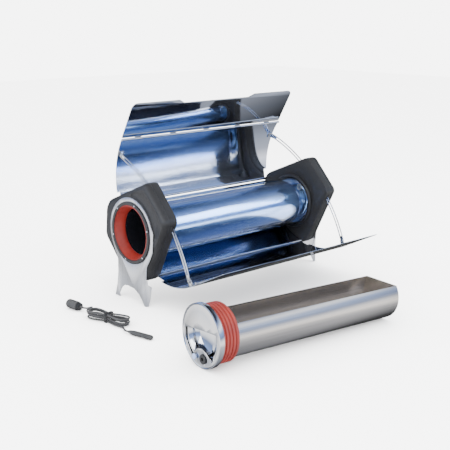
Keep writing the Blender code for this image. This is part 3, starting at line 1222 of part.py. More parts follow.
heater_hole = rod("heater_hole", heater_place, HEATER_RADIUS + GAP, plate_at - OVER, plate_end + OVER,
                  ROD_SEGMENTS)
boolean(bulkhead_piece, cutter("heater_hole", heater_hole, tray), "DIFFERENCE")


# Cord

def floor_frame(origin, toward, height):
    """Matrix whose X axis runs level from one floor point towards another."""
    heading = math.atan2(toward[1] - origin[1], toward[0] - origin[0])
    return Matrix.Translation((origin[0], origin[1], height)) @ Matrix.Rotation(heading, 4, "Z")


def laid(name, profile, frame, look, segments=20):
    """A turned piece lying on the floor in the given frame."""
    mesh = turned(name, profile, segments=segments)
    mesh.transform(frame)
    return piece(name, mesh, look, stand)


def rounded_bar(start, end, radius, start_edge, end_edge):
    """A bar's profile with its rounded ends, each a list of steps along and in."""
    profile = [(start, 0.0)] + [(start + along, radius - drop) for along, drop in start_edge]
    return profile + [(end - along, radius - drop) for along, drop in end_edge] + [(end, 0.0)]


plug_length = (Vector(PLUG_NOSE) - Vector(PLUG_REAR)).length
plug_frame = floor_frame(PLUG_REAR, PLUG_NOSE, PLUG_RADIUS)
laid("plug_collar", [(0.0, 0.0), (0.0, PLUG_COLLAR_RADIUS - PLUG_COLLAR_CHAMFER),
                     (PLUG_COLLAR_CHAMFER, PLUG_COLLAR_RADIUS), (PLUG_COLLAR_LENGTH, PLUG_COLLAR_RADIUS),
                     (PLUG_COLLAR_LENGTH, 0.0)], plug_frame, BLACK_PLASTIC)
laid("cord_plug", rounded_bar(PLUG_COLLAR_LENGTH + GAP, plug_length, PLUG_RADIUS, PLUG_REAR_EDGE,
                              PLUG_NOSE_EDGE), plug_frame, CORD_RUBBER)
connector_length = (Vector(CONNECTOR_NOSE) - Vector(CONNECTOR_REAR)).length
connector_frame = floor_frame(CONNECTOR_REAR, CONNECTOR_NOSE, CONNECTOR_RADIUS)
laid("cord_connector", rounded_bar(0.0, connector_length, CONNECTOR_RADIUS, CONNECTOR_REAR_EDGE,
                                   CONNECTOR_NOSE_EDGE), connector_frame, CORD_RUBBER)

hank_along = Vector((math.cos(HANK_HEADING), math.sin(HANK_HEADING), 0.0))
hank_side = Vector((-hank_along.y, hank_along.x, 0.0))
hank_middle = Vector((HANK_X, HANK_Y, 0.0))


def hank_spot(along, aside, height):
    """A point of the hank: along it towards the connector, to its side, and up."""
    return hank_middle + hank_along * along + hank_side * aside + Vector((0.0, 0.0, height))


def drawn_in(along):
    """How far the runs come in beside the tie."""
    return HANK_WAIST * math.exp(-(along / HANK_WAIST_LENGTH) ** 2)


def hank_inset(turn):
    """Distance in from the outermost strand: it spirals in, and turns round at each climb."""
    phase = turn - HANK_FIRST_CLIMB
    if phase < 0.0:
        return (1.0 + phase) * HANK_STEP
    layer = min(int(phase), HANK_LAYERS - 2)
    part = phase - layer
    return (part if layer == 1 else 1.0 - part) * HANK_STEP


def hank_layer(turn):
    """Layers climbed so far, half a turn for each climb, along a run."""
    layer = 0.0
    climb = HANK_FIRST_CLIMB
    while climb < HANK_TURNS - 0.5:
        share = min(max(turn - climb + 0.25, 0.0), 0.5) / 0.5
        layer += share * share * (3 - 2 * share)
        climb += 1.0
    return layer


def hank_point(turn):
    """The cord's middle line after so many turns, starting on the front run's far end."""
    inset = hank_inset(turn)
    half_length = HANK_HALF_LENGTH - inset
    half_width = HANK_HALF_WIDTH - inset
    straight = half_length - half_width
    height = HANK_LIFT + CORD_RADIUS + HANK_LAYER * hank_layer(turn)
    quarter = (turn % 1.0) * 4
    if quarter < 1.0:
        along = straight * (1 - 2 * quarter)
        return hank_spot(along, -half_width + drawn_in(along), height)
    if quarter < 2.0:
        angle = math.pi * (quarter - 1.0)
        return hank_spot(-straight - half_width * math.sin(angle), -half_width * math.cos(angle), height)
    if quarter < 3.0:
        along = straight * (2 * (quarter - 2.0) - 1)
        return hank_spot(along, half_width - drawn_in(along), height)
    angle = math.pi * (quarter - 3.0)
    return hank_spot(straight + half_width * math.sin(angle), half_width * math.cos(angle), height)


def cord_object(name, points, sides, look):
    """A tube of the cord's diameter along the points, with closed ends."""
    curve = bpy.data.curves.new(name, "CURVE")
    curve.dimensions = "3D"
    curve.bevel_depth = CORD_RADIUS
    curve.bevel_resolution = sides
    curve.use_fill_caps = True
    line = curve.splines.new("POLY")
    line.points.add(len(points) - 1)
    for target, point in zip(line.points, points):
        target.co = (*point, 1.0)
    made = bpy.data.objects.new(name, curve)
    made.parent = stand
    curve.materials.append(finish(name + "_finish", *look))
    bpy.context.collection.objects.link(made)
    return made


def smooth_route(points, spacing):
    """Even points on a smooth curve through the route, its first and last stretches straight."""
    route = [Vector(p) for p in points]
    fine = []
    for i in range(1, len(route) - 2):
        p0, p1, p2, p3 = route[i - 1:i + 3]
        span = (p2 - p1).length
        start = (p2 - p0).normalized() * span
        stop = (p3 - p1).normalized() * span
        if i == 1:
            start = (p1 - p0).normalized() * span
        if i == len(route) - 3:
            stop = (p3 - p2).normalized() * span
        for k in range(20):
            t = k / 20
            fine.append(p1 * (2 * t ** 3 - 3 * t ** 2 + 1) + start * (t ** 3 - 2 * t ** 2 + t)
                        + p2 * (3 * t ** 2 - 2 * t ** 3) + stop * (t ** 3 - t ** 2))
    fine.append(route[-2])
    lengths = [0.0]
    for a, b in zip(fine, fine[1:]):
        lengths.append(lengths[-1] + (b - a).length)
    count = max(int(lengths[-1] / spacing), 2)
    even = [route[0]]
    at = 0
    for i in range(count + 1):
        want = lengths[-1] * i / count
        while at < len(lengths) - 2 and lengths[at + 1] < want:
            at += 1
        share = (want - lengths[at]) / (lengths[at + 1] - lengths[at])
        even.append(fine[at].lerp(fine[at + 1], min(max(share, 0.0), 1.0)))
    return even + [route[-1]]


diameter = 2 * CORD_RADIUS
turns = [HANK_TURNS * i / round(HANK_TURNS * HANK_POINTS) for i in range(round(HANK_TURNS * HANK_POINTS) + 1)]
strand = [hank_point(t) for t in turns]
first_way = (strand[0] - strand[1]).normalized()
last_way = (strand[-1] - strand[-2]).normalized()
first_way.z = 0.0
last_way.z = 0.0
lead = diameter * TAIL_LEAD
hank_start = strand[0] + first_way.normalized() * lead
hank_end = strand[-1] + last_way.normalized() * lead
hank_path = [hank_start] + strand + [hank_end]
cord_object("cord_hank", hank_path, 1, CORD_RUBBER)


def least_gap(path, diameter, skip):
    """Smallest distance between strands of one tube, less its diameter."""
    fine = []
    for a, b in zip(path, path[1:]):
        fine += [a.lerp(b, i / 6) for i in range(6)]
    least = 1.0
    for i in range(len(fine)):
        for j in range(i + skip, len(fine)):
            least = min(least, (fine[i] - fine[j]).length)
    return least - diameter


gap_found = least_gap(hank_path, diameter, 2 * HANK_POINTS)
print("least gap of the hank to itself: %.2f mm" % (gap_found * 1000))


def way(a, b):
    """Direction from one point to another."""
    return (Vector(b) - Vector(a)).normalized()


to_plug = last_way.normalized()
plug_way = Vector((*way(PLUG_REAR, PLUG_NOSE), 0.0))
plug_end = Vector((*PLUG_REAR, PLUG_RADIUS)) - plug_way * GAP
tail_start = hank_end + to_plug * GAP
plug_route = [tail_start, tail_start + to_plug * diameter, Vector(TAIL_BEND), plug_end - plug_way * lead,
              plug_end]
cord_object("cord_tail_plug", smooth_route(plug_route, diameter * TAIL_SPACING), 2, CORD_RUBBER)

connector_way = Vector((*way(CONNECTOR_REAR, CONNECTOR_NOSE), 0.0))
connector_end = Vector((*CONNECTOR_REAR, CONNECTOR_RADIUS)) - connector_way * GAP
tail_start = hank_start + first_way.normalized() * GAP
connector_route = [tail_start, tail_start + first_way.normalized() * diameter,
                   connector_end - connector_way * lead, connector_end]
cord_object("cord_tail_connector", smooth_route(connector_route, diameter * TAIL_SPACING), 2, CORD_RUBBER)

# The tie: a flat band round all the strands at the waist
tie_half = HANK_HALF_WIDTH - HANK_WAIST + CORD_RADIUS + TIE_SLACK + GAP
tie_top = HANK_LIFT + (HANK_LAYERS - 1) * HANK_LAYER + diameter + GAP
tie_low = HANK_LIFT - GAP
inner = [(-tie_half, tie_low), (tie_half, tie_low), (tie_half, tie_top), (-tie_half, tie_top)]
outer = [(-tie_half - TIE_SHEET, tie_low - TIE_SHEET), (tie_half + TIE_SHEET, tie_low - TIE_SHEET),
         (tie_half + TIE_SHEET, tie_top + TIE_SHEET), (-tie_half - TIE_SHEET, tie_top + TIE_SHEET)]
tie_loops = []
tie_end = TIE_WIDTH / 2
for along, loop in ((-tie_end, outer), (tie_end, outer), (tie_end, inner), (-tie_end, inner)):
    tie_loops.append([hank_spot(along, *p) for p in loop])
piece("hank_tie", loft("hank_tie", tie_loops, ring=True), BLACK_PLASTIC, stand)
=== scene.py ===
# %% [markdown]
# A solar oven cooks inside a glass vacuum tube that folding mirrors light up. This lesson dresses
# its solid parts: it makes the round and curved pieces afresh with fine faces, and gives each
# surface the finish of its real material. The parts come in first, as a fixed frame to build round.

# %% Load the fixed parts
import json
import math

import bpy
from mathutils import Matrix, Vector

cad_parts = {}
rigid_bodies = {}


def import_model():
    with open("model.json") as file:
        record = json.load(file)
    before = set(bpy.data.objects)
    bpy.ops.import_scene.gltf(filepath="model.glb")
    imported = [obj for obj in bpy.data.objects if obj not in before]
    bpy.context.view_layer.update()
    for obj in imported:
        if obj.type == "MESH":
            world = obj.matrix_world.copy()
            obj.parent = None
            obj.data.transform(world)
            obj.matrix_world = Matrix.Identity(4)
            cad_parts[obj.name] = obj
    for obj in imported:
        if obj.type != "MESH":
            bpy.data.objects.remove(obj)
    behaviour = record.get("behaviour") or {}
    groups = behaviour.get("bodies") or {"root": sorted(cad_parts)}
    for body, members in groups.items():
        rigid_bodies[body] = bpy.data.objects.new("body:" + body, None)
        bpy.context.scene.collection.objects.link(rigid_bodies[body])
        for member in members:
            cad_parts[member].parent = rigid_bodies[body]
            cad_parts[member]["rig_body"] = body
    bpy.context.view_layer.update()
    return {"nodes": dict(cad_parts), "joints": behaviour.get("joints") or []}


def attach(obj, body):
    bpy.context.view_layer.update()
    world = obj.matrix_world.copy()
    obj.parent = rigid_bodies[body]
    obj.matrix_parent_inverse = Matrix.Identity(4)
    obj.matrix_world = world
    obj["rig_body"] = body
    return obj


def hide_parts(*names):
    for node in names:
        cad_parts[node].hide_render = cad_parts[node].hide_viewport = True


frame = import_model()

NODES = frame["nodes"]
JOINTS = {joint["name"]: joint for joint in frame["joints"]}

# %% [markdown]
# Two frames carry almost everything. The oven's own axis runs along the tube, and the mirrors look
# up from it by a fixed angle. The tray lies on the floor, turned a little and tipped by its disc.
# Pieces are drawn in these frames with easy numbers, and their meshes are then moved into place.

# %% The two working frames
AIM = math.radians(43.1)
OVEN = Matrix.Translation(JOINTS["oven_tilt"]["pos_m"]) @ Matrix.Rotation(-AIM, 4, "X")
STAND = Matrix.Translation((*JOINTS["oven_tilt"]["pos_m"][:2], 0.0))
TRAY_YAW = math.radians(-5.23)
TRAY_PITCH = math.radians(1.27)
TRAY_PLACE = (-0.4498, -0.4418)
DISC_RADIUS = 0.0705
RIM_DEPTH = 0.0120
tray_height = DISC_RADIUS * math.cos(TRAY_PITCH) + RIM_DEPTH * math.sin(TRAY_PITCH)
TRAY = (STAND @ Matrix.Translation((*TRAY_PLACE, tray_height))
        @ Matrix.Rotation(TRAY_YAW, 4, "Z") @ Matrix.Rotation(TRAY_PITCH, 4, "Y"))
print("oven axis at", list(OVEN.translation), "tray at", list(TRAY.translation))

# %% [markdown]
# The camera stands where the photographer stood: low, to the left of the mouth, with a longish
# lens. It is set first.

# %% Camera
VIEW_TURN = math.radians(-41.21)
VIEW_RISE = math.radians(14.07)
VIEW_DISTANCE = 2.358
LENS_MM = 68.0
target = STAND @ Vector((0.0049, 0.0, 0.1505))
back = Vector((math.sin(VIEW_TURN) * math.cos(VIEW_RISE), -math.cos(VIEW_TURN) * math.cos(VIEW_RISE),
               math.sin(VIEW_RISE)))
camera = bpy.data.objects.new("camera", bpy.data.cameras.new("camera"))
camera.data.lens = LENS_MM
camera.data.sensor_width = 36.0
camera.location = target + back * VIEW_DISTANCE
camera.rotation_euler = (-back).to_track_quat("-Z", "Y").to_euler()
bpy.context.collection.objects.link(camera)
bpy.context.scene.camera = camera
print("camera at", list(camera.location))

# %% [markdown]
# The cord lies loose on the floor, folded into a hank with a tie round its waist. Its runs go round
# and round a long oval, one strand beside the next, and climb a layer each time they come round.
# A loop works out the turns, and a smooth curve joins the hank to the plug and to the connector.

# %% Cord
CORD_RADIUS = 0.0023
PLUG_REAR, PLUG_NOSE, PLUG_RADIUS = (-0.4530, 0.0240), (-0.4590, 0.0690), 0.0115
PLUG_COLLAR_LENGTH = 0.0080
CONNECTOR_REAR, CONNECTOR_NOSE, CONNECTOR_RADIUS = (-0.4517, -0.1828), (-0.4343, -0.2517), 0.0060
HANK_PLACE = (-0.4400, -0.0825)
HANK_HEADING = math.atan2(-0.1250, 0.0305)
HANK_HALF_LENGTH, HANK_HALF_WIDTH = 0.0630, 0.0165
HANK_WAIST, HANK_WAIST_LENGTH = 0.0080, 0.0240
HANK_STEP, HANK_LAYER, HANK_LIFT = 0.0053, 0.0051, 0.0013
HANK_TURNS, HANK_FIRST_CLIMB, HANK_CLIMBS = 4.375, 1.125, 3
CLIMB_SHARE = 0.5
POINTS_PER_TURN = 48
TAIL_MIDDLE = (-0.4465, 0.0040, 0.0120)
LEAD_RADII = 2.4
CONNECTOR_TAIL_STEPS, PLUG_TAIL_STEPS = 10, 8


def hank_spot(along, aside, height):
    """A point of the hank: along it, to its side and up, on the stand's floor."""
    heading = Vector((math.cos(HANK_HEADING), math.sin(HANK_HEADING), 0.0))
    sideways = Vector((-heading.y, heading.x, 0.0))
    return Vector((*HANK_PLACE, height)) + heading * along + sideways * aside


def hank_point(turn):
    """The cord's middle line after so many turns of the hank."""
    phase = turn - HANK_FIRST_CLIMB
    layer = min(int(max(phase, 0.0)), HANK_CLIMBS - 1)
    part = phase - layer
    inset = (1.0 + phase if phase < 0.0 else part if layer == 1 else 1.0 - part) * HANK_STEP
    climbed = 0.0
    for number in range(HANK_CLIMBS):
        past = turn - HANK_FIRST_CLIMB - number + CLIMB_SHARE / 2
        share = min(max(past, 0.0), CLIMB_SHARE) / CLIMB_SHARE
        climbed += share * share * (3 - 2 * share)
    height = HANK_LIFT + CORD_RADIUS + HANK_LAYER * climbed
    half_width = HANK_HALF_WIDTH - inset
    straight = HANK_HALF_LENGTH - inset - half_width
    quarter, step = divmod((turn % 1.0) * 4, 1.0)
    if quarter in (0, 2):
        side = -1 if quarter == 0 else 1
        along = -side * straight * (1 - 2 * step)
        waist = HANK_WAIST * math.exp(-(along / HANK_WAIST_LENGTH) ** 2)
        return hank_spot(along, side * (half_width - waist), height)
    side = -1 if quarter == 1 else 1
    angle = math.pi * step
    along = side * (straight + half_width * math.sin(angle))
    return hank_spot(along, side * half_width * math.cos(angle), height)


def eased(p0, p1, way0, way1, count):
    """Points of a smooth curve between two places with the given directions."""
    span = (p1 - p0).length
    points = []
    for i in range(1, count):
        t = i / count
        points.append(p0 * (2 * t ** 3 - 3 * t ** 2 + 1) + way0 * span * (t ** 3 - 2 * t ** 2 + t)
                      + p1 * (3 * t ** 2 - 2 * t ** 3) + way1 * span * (t ** 3 - t ** 2))
    return points


total = round(HANK_TURNS * POINTS_PER_TURN)
strand = [hank_point(HANK_TURNS * i / total) for i in range(total + 1)]
plug_way = Vector((PLUG_NOSE[0] - PLUG_REAR[0], PLUG_NOSE[1] - PLUG_REAR[1], 0.0)).normalized()
connector_way = Vector((CONNECTOR_NOSE[0] - CONNECTOR_REAR[0], CONNECTOR_NOSE[1] - CONNECTOR_REAR[1],
                        0.0)).normalized()
lead = LEAD_RADII * CORD_RADIUS
start_way = (strand[0] - strand[1]).normalized()
stop_way = (strand[-1] - strand[-2]).normalized()
connector_end = Vector((*CONNECTOR_REAR, CONNECTOR_RADIUS))
plug_end = Vector((*PLUG_REAR, PLUG_RADIUS))
connector_lead = connector_end - connector_way * lead
plug_lead = plug_end - plug_way * lead
middle = Vector(TAIL_MIDDLE)
first = strand[0] + start_way * 2 * lead
last = strand[-1] + stop_way * 2 * lead
route = [connector_end, connector_lead]
route += eased(connector_lead, first, -connector_way, -start_way, CONNECTOR_TAIL_STEPS) + [first]
tail_way = (plug_lead - last).normalized()
route += strand + [last] + eased(last, middle, stop_way, tail_way, PLUG_TAIL_STEPS) + [middle]
route += eased(middle, plug_lead, tail_way, plug_way, PLUG_TAIL_STEPS) + [plug_lead, plug_end]
route = [STAND @ point for point in route]
cord_curve = bpy.data.curves.new("cord", "CURVE")
cord_curve.dimensions = "3D"
cord_curve.bevel_depth = CORD_RADIUS
cord_curve.bevel_resolution = 5
cord_curve.use_fill_caps = True
line = cord_curve.splines.new("POLY")
line.points.add(len(route) - 1)
for target_point, point in zip(line.points, route):
    target_point.co = (*point, 1.0)
line.use_smooth = True
cord = bpy.data.objects.new("cord", cord_curve)
bpy.context.collection.objects.link(cord)
bpy.ops.object.select_all(action="DESELECT")
cord.select_set(True)
bpy.context.view_layer.objects.active = cord
bpy.ops.object.convert(target="MESH")
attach(cord, "stand")
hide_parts("cord_hank", "cord_tail_plug", "cord_tail_connector")

# %% [markdown]
# A finish starts from what the material is. One small function turns sRGB hex into the linear
# colour that shaders use, and one adds a node with its settings and links. Every pattern reads
# object coordinates in metres, so its scale is written as a real size in millimetres.

# %% Colour and node helpers


def linear(hex_colour):
    """sRGB hex as a linear colour."""
    channels = [int(hex_colour[i:i + 2], 16) / 255 for i in (0, 2, 4)]
    return (*[c / 12.92 if c <= 0.04045 else ((c + 0.055) / 1.055) ** 2.4 for c in channels], 1.0)


def add(tree, kind, links=(), **settings):
    """A node; settings name its properties or input sockets, links pair a socket with its source."""
    made = tree.nodes.new(kind)
    for name, value in settings.items():
        if hasattr(made, name):
            setattr(made, name, value)
        else:
            made.inputs[name.replace("_", " ")].default_value = value
    for socket, source in links:
        tree.links.new(source, made.inputs[socket])
    return made


def surface(name, hex_colour, roughness, metallic=0.0):
    """A new material with its shader set to one colour and roughness."""
    made = bpy.data.materials.new(name)
    made.use_nodes = True
    shader = made.node_tree.nodes["Principled BSDF"]
    shader.inputs["Base Color"].default_value = linear(hex_colour)
    shader.inputs["Roughness"].default_value = roughness
    shader.inputs["Metallic"].default_value = metallic
    return made, made.node_tree, shader


def noise(tree, size_mm, stretch=(1, 1, 1), turn=(0, 0, 0), detail=3.0):
    """Noise whose blotches are about so many millimetres wide, stretched along a turned axis if asked."""
    where = add(tree, "ShaderNodeTexCoord")
    size = tuple(size_mm / 1000.0 * s for s in stretch)
    placed = add(tree, "ShaderNodeMapping", [("Vector", where.outputs["Object"])], vector_type="TEXTURE",
                 Scale=size, Rotation=turn)
    return add(tree, "ShaderNodeTexNoise", [("Vector", placed.outputs["Vector"])], Scale=1.0, Detail=detail)


def between(tree, source, low, high, start=0.3, stop=0.7):
    """Spreads a 0 to 1 pattern between two values."""
    return add(tree, "ShaderNodeMapRange", [("Value", source)], From_Min=start, From_Max=stop,
               To_Min=low, To_Max=high).outputs["Result"]


def blended(tree, source, *stops):
    """A colour ramp over a pattern; each stop is a place and a hex colour."""
    ramp = add(tree, "ShaderNodeValToRGB", [("Fac", source)])
    while len(ramp.color_ramp.elements) < len(stops):
        ramp.color_ramp.elements.new(0.5)
    for element, (place, hex_colour) in zip(ramp.color_ramp.elements, stops):
        element.position = place
        element.color = linear(hex_colour)
    return ramp.outputs["Color"]


def raise_surface(tree, shader, source, height_mm, strength=1.0):
    """Bump of so many millimetres from a pattern."""
    bump = add(tree, "ShaderNodeBump", [("Height", source)], Distance=height_mm / 1000, Strength=strength)
    tree.links.new(bump.outputs["Normal"], shader.inputs["Normal"])


print("helpers ready")

# %% [markdown]
# The mirrors are thin polished aluminium with a clear anodised coat. Its own colour is a cool, pale
# grey: most of the blue in it is the tube's, reflected. A rolled sheet is never quite flat, so
# reflections wander slightly.

# %% Metals
mirror, tree, shader = surface("anodised mirror aluminium", "c4c8d0", 0.06, 1.0)
wander = noise(tree, 60.0, stretch=(9, 1, 1), turn=(-AIM, 0, 0), detail=1.5)
tree.links.new(between(tree, noise(tree, 9.0, stretch=(8, 1, 1)).outputs["Fac"], 0.04, 0.09),
               shader.inputs["Roughness"])
tree.links.new(blended(tree, wander.outputs["Fac"], (0.3, "b9c0cf"), (0.5, "c4c8d2"), (0.7, "cdced4")),
               shader.inputs["Base Color"])
raise_surface(tree, shader, wander.outputs["Fac"], 0.3, 0.3)


def brushed(name, hex_low, hex_high, rough_low, rough_high, stretch, turn=(0, 0, 0)):
    """Metal drawn along one axis: fine streaks in brightness, roughness and height."""
    made, tree, shader = surface(name, hex_high, rough_high, 1.0)
    streaks = noise(tree, 0.8, stretch=stretch, turn=turn, detail=4.0).outputs["Fac"]
    tree.links.new(blended(tree, streaks, (0.3, hex_low), (0.7, hex_high)), shader.inputs["Base Color"])
    tree.links.new(between(tree, streaks, rough_low, rough_high), shader.inputs["Roughness"])
    raise_surface(tree, shader, streaks, 0.001, 0.3)
    return made


trough_steel = brushed("brushed stainless steel", "cbc4bd", "d8d2cb", 0.20, 0.27, (400, 2, 2),
                       (0, TRAY_PITCH, TRAY_YAW))
leg_steel = brushed("brushed aluminium plate", "d6d7da", "e6e7ea", 0.24, 0.32, (1, 1, 200))
polished_steel, tree, shader = surface("polished stainless steel", "d8d8d9", 0.10, 1.0)
tree.links.new(between(tree, noise(tree, 14.0).outputs["Fac"], 0.06, 0.13), shader.inputs["Roughness"])
getter_metal, tree, shader = surface("dull getter metal", "b4b2ae", 0.42, 0.8)
tree.links.new(between(tree, noise(tree, 1.5).outputs["Fac"], 0.32, 0.5), shader.inputs["Roughness"])
print("metals:", mirror.name, trough_steel.name, leg_steel.name, polished_steel.name, getter_metal.name)

# %% [markdown]
# Borosilicate glass is clear with a sharp gloss. The inner tube's outside carries a sputtered solar
# coating: an interference film, light blue face on and a greyer violet at a grazing view. It looks
# deeper where one reflection meets another. Its inside is bare and looks almost black.

# %% Glass
clear_glass, tree, shader = surface("borosilicate glass", "f4f8fc", 0.02)
shader.inputs["Transmission Weight"].default_value = 1.0
shader.inputs["IOR"].default_value = 1.47
coating, tree, shader = surface("sputtered solar coating", "94acd6", 0.15, 0.9)
facing = add(tree, "ShaderNodeLayerWeight", Blend=0.35).outputs["Facing"]
tree.links.new(blended(tree, facing, (0.0, "93b8e8"), (0.45, "8ba3d4"), (0.85, "8c8aac")),
               shader.inputs["Base Color"])
tree.links.new(between(tree, noise(tree, 30.0, stretch=(5, 1, 1)).outputs["Fac"], 0.13, 0.24),
               shader.inputs["Roughness"])
bare_inside, tree, shader = surface("coated tube from inside", "0b0c10", 0.12)
tree.links.new(between(tree, noise(tree, 20.0).outputs["Fac"], 0.08, 0.18), shader.inputs["Roughness"])
print("glass:", clear_glass.name, coating.name)

# %% [markdown]
# The housings are glass-filled nylon from a spark-eroded mould: charcoal, with a fine even grain
# that breaks up the gloss. The seal and the stopper are silicone, softer in sheen. The cord has a
# PVC jacket, and its ends are moulded rubber. The studio's light is strong, so these colours are
# set darker than they look in the picture.

# %% Plastics and rubbers


def moulded(name, hex_low, hex_high, rough, grain_mm, height_mm):
    """A moulded surface: a grain in height, a broad wander in roughness and colour."""
    made, tree, shader = surface(name, hex_high, rough)
    tree.links.new(blended(tree, noise(tree, 45.0).outputs["Fac"], (0.35, hex_low), (0.65, hex_high)),
                   shader.inputs["Base Color"])
    tree.links.new(between(tree, noise(tree, 6.0).outputs["Fac"], rough - 0.06, rough + 0.06),
                   shader.inputs["Roughness"])
    raise_surface(tree, shader, noise(tree, grain_mm).outputs["Fac"], height_mm, 0.7)
    return made


charcoal = moulded("charcoal moulded nylon", "0f0f10", "131315", 0.50, 0.7, 0.03)
black_plastic = moulded("black moulded nylon", "0d0d0e", "121213", 0.42, 0.7, 0.02)
silicone = moulded("red silicone rubber", "5c0c04", "6a1205", 0.48, 1.2, 0.02)
rubber = moulded("dark moulded rubber", "222223", "2a2a2b", 0.62, 0.8, 0.04)
jacket = moulded("dark PVC cord jacket", "262627", "2f2f30", 0.55, 1.5, 0.03)
button_blue = moulded("blue-grey satin cap", "5f6f92", "7c8cae", 0.36, 1.0, 0.02)
cord.data.materials.append(jacket)
print("plastics:", charcoal.name, silicone.name, jacket.name)

# %% [markdown]
# Round pieces are turned, as on a lathe. A circle primitive gives a closed loop of points, they
# are moved to the profile, and the spin operator sweeps the loop round the axis. Doubled points
# merge, normals are made to point out, and a bevel softens the edges that a mould or a tool would.

# %% Turning and refining


def only(piece):
    """Makes one object the only selected and active one."""
    for other in bpy.context.view_layer.objects:
        other.select_set(False)
    piece.select_set(True)
    bpy.context.view_layer.objects.active = piece


def soften(piece, width, segments=3, angle=32.0):
    """Bevels the sharp edges, applies it and shades the rest smooth."""
    only(piece)
    if width:
        bevel = piece.modifiers.new("edges", "BEVEL")
        bevel.width = width
        bevel.segments = segments
        bevel.limit_method = "ANGLE"
        bevel.angle_limit = math.radians(angle)
        bevel.harden_normals = False
        bpy.ops.object.modifier_apply(modifier=bevel.name)
    bpy.ops.object.shade_smooth_by_angle(angle=math.radians(angle))


def settle(piece, body, material, replaced=()):
    """Gives a finished piece its material, its body and the parts that it stands for."""
    piece.data.materials.clear()
    piece.data.materials.append(material)
    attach(piece, body)
    if replaced:
        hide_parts(*replaced)
    return piece


def turned(name, profile, place, centre=(0.0, 0.0), edge=0.0004, steps=72):
    """Turns a closed profile of (x, radius) about a line along X in the frame given by place."""
    bpy.ops.object.select_all(action="DESELECT")
    bpy.ops.mesh.primitive_circle_add(vertices=len(profile), radius=0.1)
    piece = bpy.context.object
    piece.name = piece.data.name = name
    for vertex, (x, radius) in zip(piece.data.vertices, profile):
        vertex.co = (x, -centre[0], centre[1] + radius)
    bpy.ops.object.mode_set(mode="EDIT")
    bpy.ops.mesh.select_all(action="SELECT")
    bpy.ops.mesh.spin(steps=steps, angle=2 * math.pi, center=(0.0, -centre[0], centre[1]), axis=(1, 0, 0))
    bpy.ops.mesh.select_all(action="SELECT")
    bpy.ops.mesh.remove_doubles(threshold=0.00001)
    bpy.ops.mesh.delete_loose()
    bpy.ops.mesh.select_all(action="SELECT")
    bpy.ops.mesh.normals_make_consistent(inside=False)
    bpy.ops.object.mode_set(mode="OBJECT")
    piece.data.transform(place)
    soften(piece, edge)
    return piece


def refined(node, material, edge=0.0003, name=None):
    """A copy of a fixed part with its faces joined up, its edges softened and smooth shading."""
    source = NODES[node]
    piece = bpy.data.objects.new(name or "fine_" + node, source.data.copy())
    bpy.context.collection.objects.link(piece)
    only(piece)
    bpy.ops.object.mode_set(mode="EDIT")
    bpy.ops.mesh.select_all(action="SELECT")
    bpy.ops.mesh.remove_doubles(threshold=0.000005)
    bpy.ops.mesh.dissolve_limited(angle_limit=math.radians(0.5))
    bpy.ops.object.mode_set(mode="OBJECT")
    soften(piece, edge, segments=2)
    return settle(piece, source["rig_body"], material, [node])


print("shaping helpers ready")

# %% [markdown]
# The vacuum tube is two nested vessels with a domed end, joined at the mouth. The glass dome and
# the coated dome follow a quarter ellipse, drawn by a short loop.

# %% Glass tube and absorber
TUBE_RADIUS, TUBE_WALL = 0.0700, 0.0022
BORE_RADIUS, ABSORBER_WALL = 0.0605, 0.0020
MOUTH_X = -0.2855
GLASS_SHOULDER, GLASS_DOME = 0.2660, 0.0260
ABSORBER_SHOULDER, ABSORBER_DOME = 0.2320, 0.0280
SEAM_FLAT, SEAM_END = 0.003, 0.006
BARE_END_X, BARE_MARGIN = 0.258, 0.0005
GAP = 0.0003


def dome(shoulder, depth, radius, steps=10):
    """Points of a quarter ellipse from the shoulder to the axis."""
    return [(shoulder + depth * math.sin(math.pi / 2 * i / steps),
             0.0 if i == steps else radius * math.cos(math.pi / 2 * i / steps)) for i in range(steps + 1)]


inner_wall = TUBE_RADIUS - TUBE_WALL
glass_profile = [(MOUTH_X, inner_wall), (MOUTH_X, TUBE_RADIUS)]
glass_profile += dome(GLASS_SHOULDER, GLASS_DOME, TUBE_RADIUS)
glass_profile += dome(GLASS_SHOULDER, GLASS_DOME - TUBE_WALL, inner_wall)[::-1]
glass = turned("glass_outer_tube", glass_profile, OVEN, edge=0.0, steps=96)
settle(glass, "oven", clear_glass, ["glass_tube"])
coated = BORE_RADIUS + ABSORBER_WALL
absorber_profile = [(MOUTH_X, BORE_RADIUS), (MOUTH_X, inner_wall - GAP),
                    (MOUTH_X + SEAM_FLAT, inner_wall - GAP), (MOUTH_X + SEAM_END, coated)]
absorber_profile += dome(ABSORBER_SHOULDER, ABSORBER_DOME, coated)
absorber_profile += dome(ABSORBER_SHOULDER, ABSORBER_DOME - ABSORBER_WALL, BORE_RADIUS)[::-1]
absorber = turned("coated_inner_tube", absorber_profile, OVEN, edge=0.0, steps=96)
settle(absorber, "oven", coating, ["absorber_tube"])
absorber.data.materials.append(bare_inside)
to_oven = OVEN.inverted()
for polygon in absorber.data.polygons:
    place = to_oven @ polygon.center
    outwards = (to_oven.to_3x3() @ polygon.normal).dot(Vector((0.0, place.y, place.z)))
    if outwards < 0 and place.x < BARE_END_X and math.hypot(place.y, place.z) < BORE_RADIUS + BARE_MARGIN:
        polygon.material_index = 1
print("tube faces:", len(glass.data.polygons), len(absorber.data.polygons))

# %% [markdown]
# A red silicone funnel seals the tube's mouth. A flat black ring holds the leg on the hub with six
# small button-head screws. The far end has the same ring round a dished cover, and ribbed collars
# hold the tube in both housings.

# %% Mouth, rings and end cover
HUB_BORE, RING_X, RING_THICKNESS, RING_RADIUS = 0.0712, 0.3123, 0.0027, 0.0805
SCREW_CIRCLE, SCREWS = 0.0757, 6
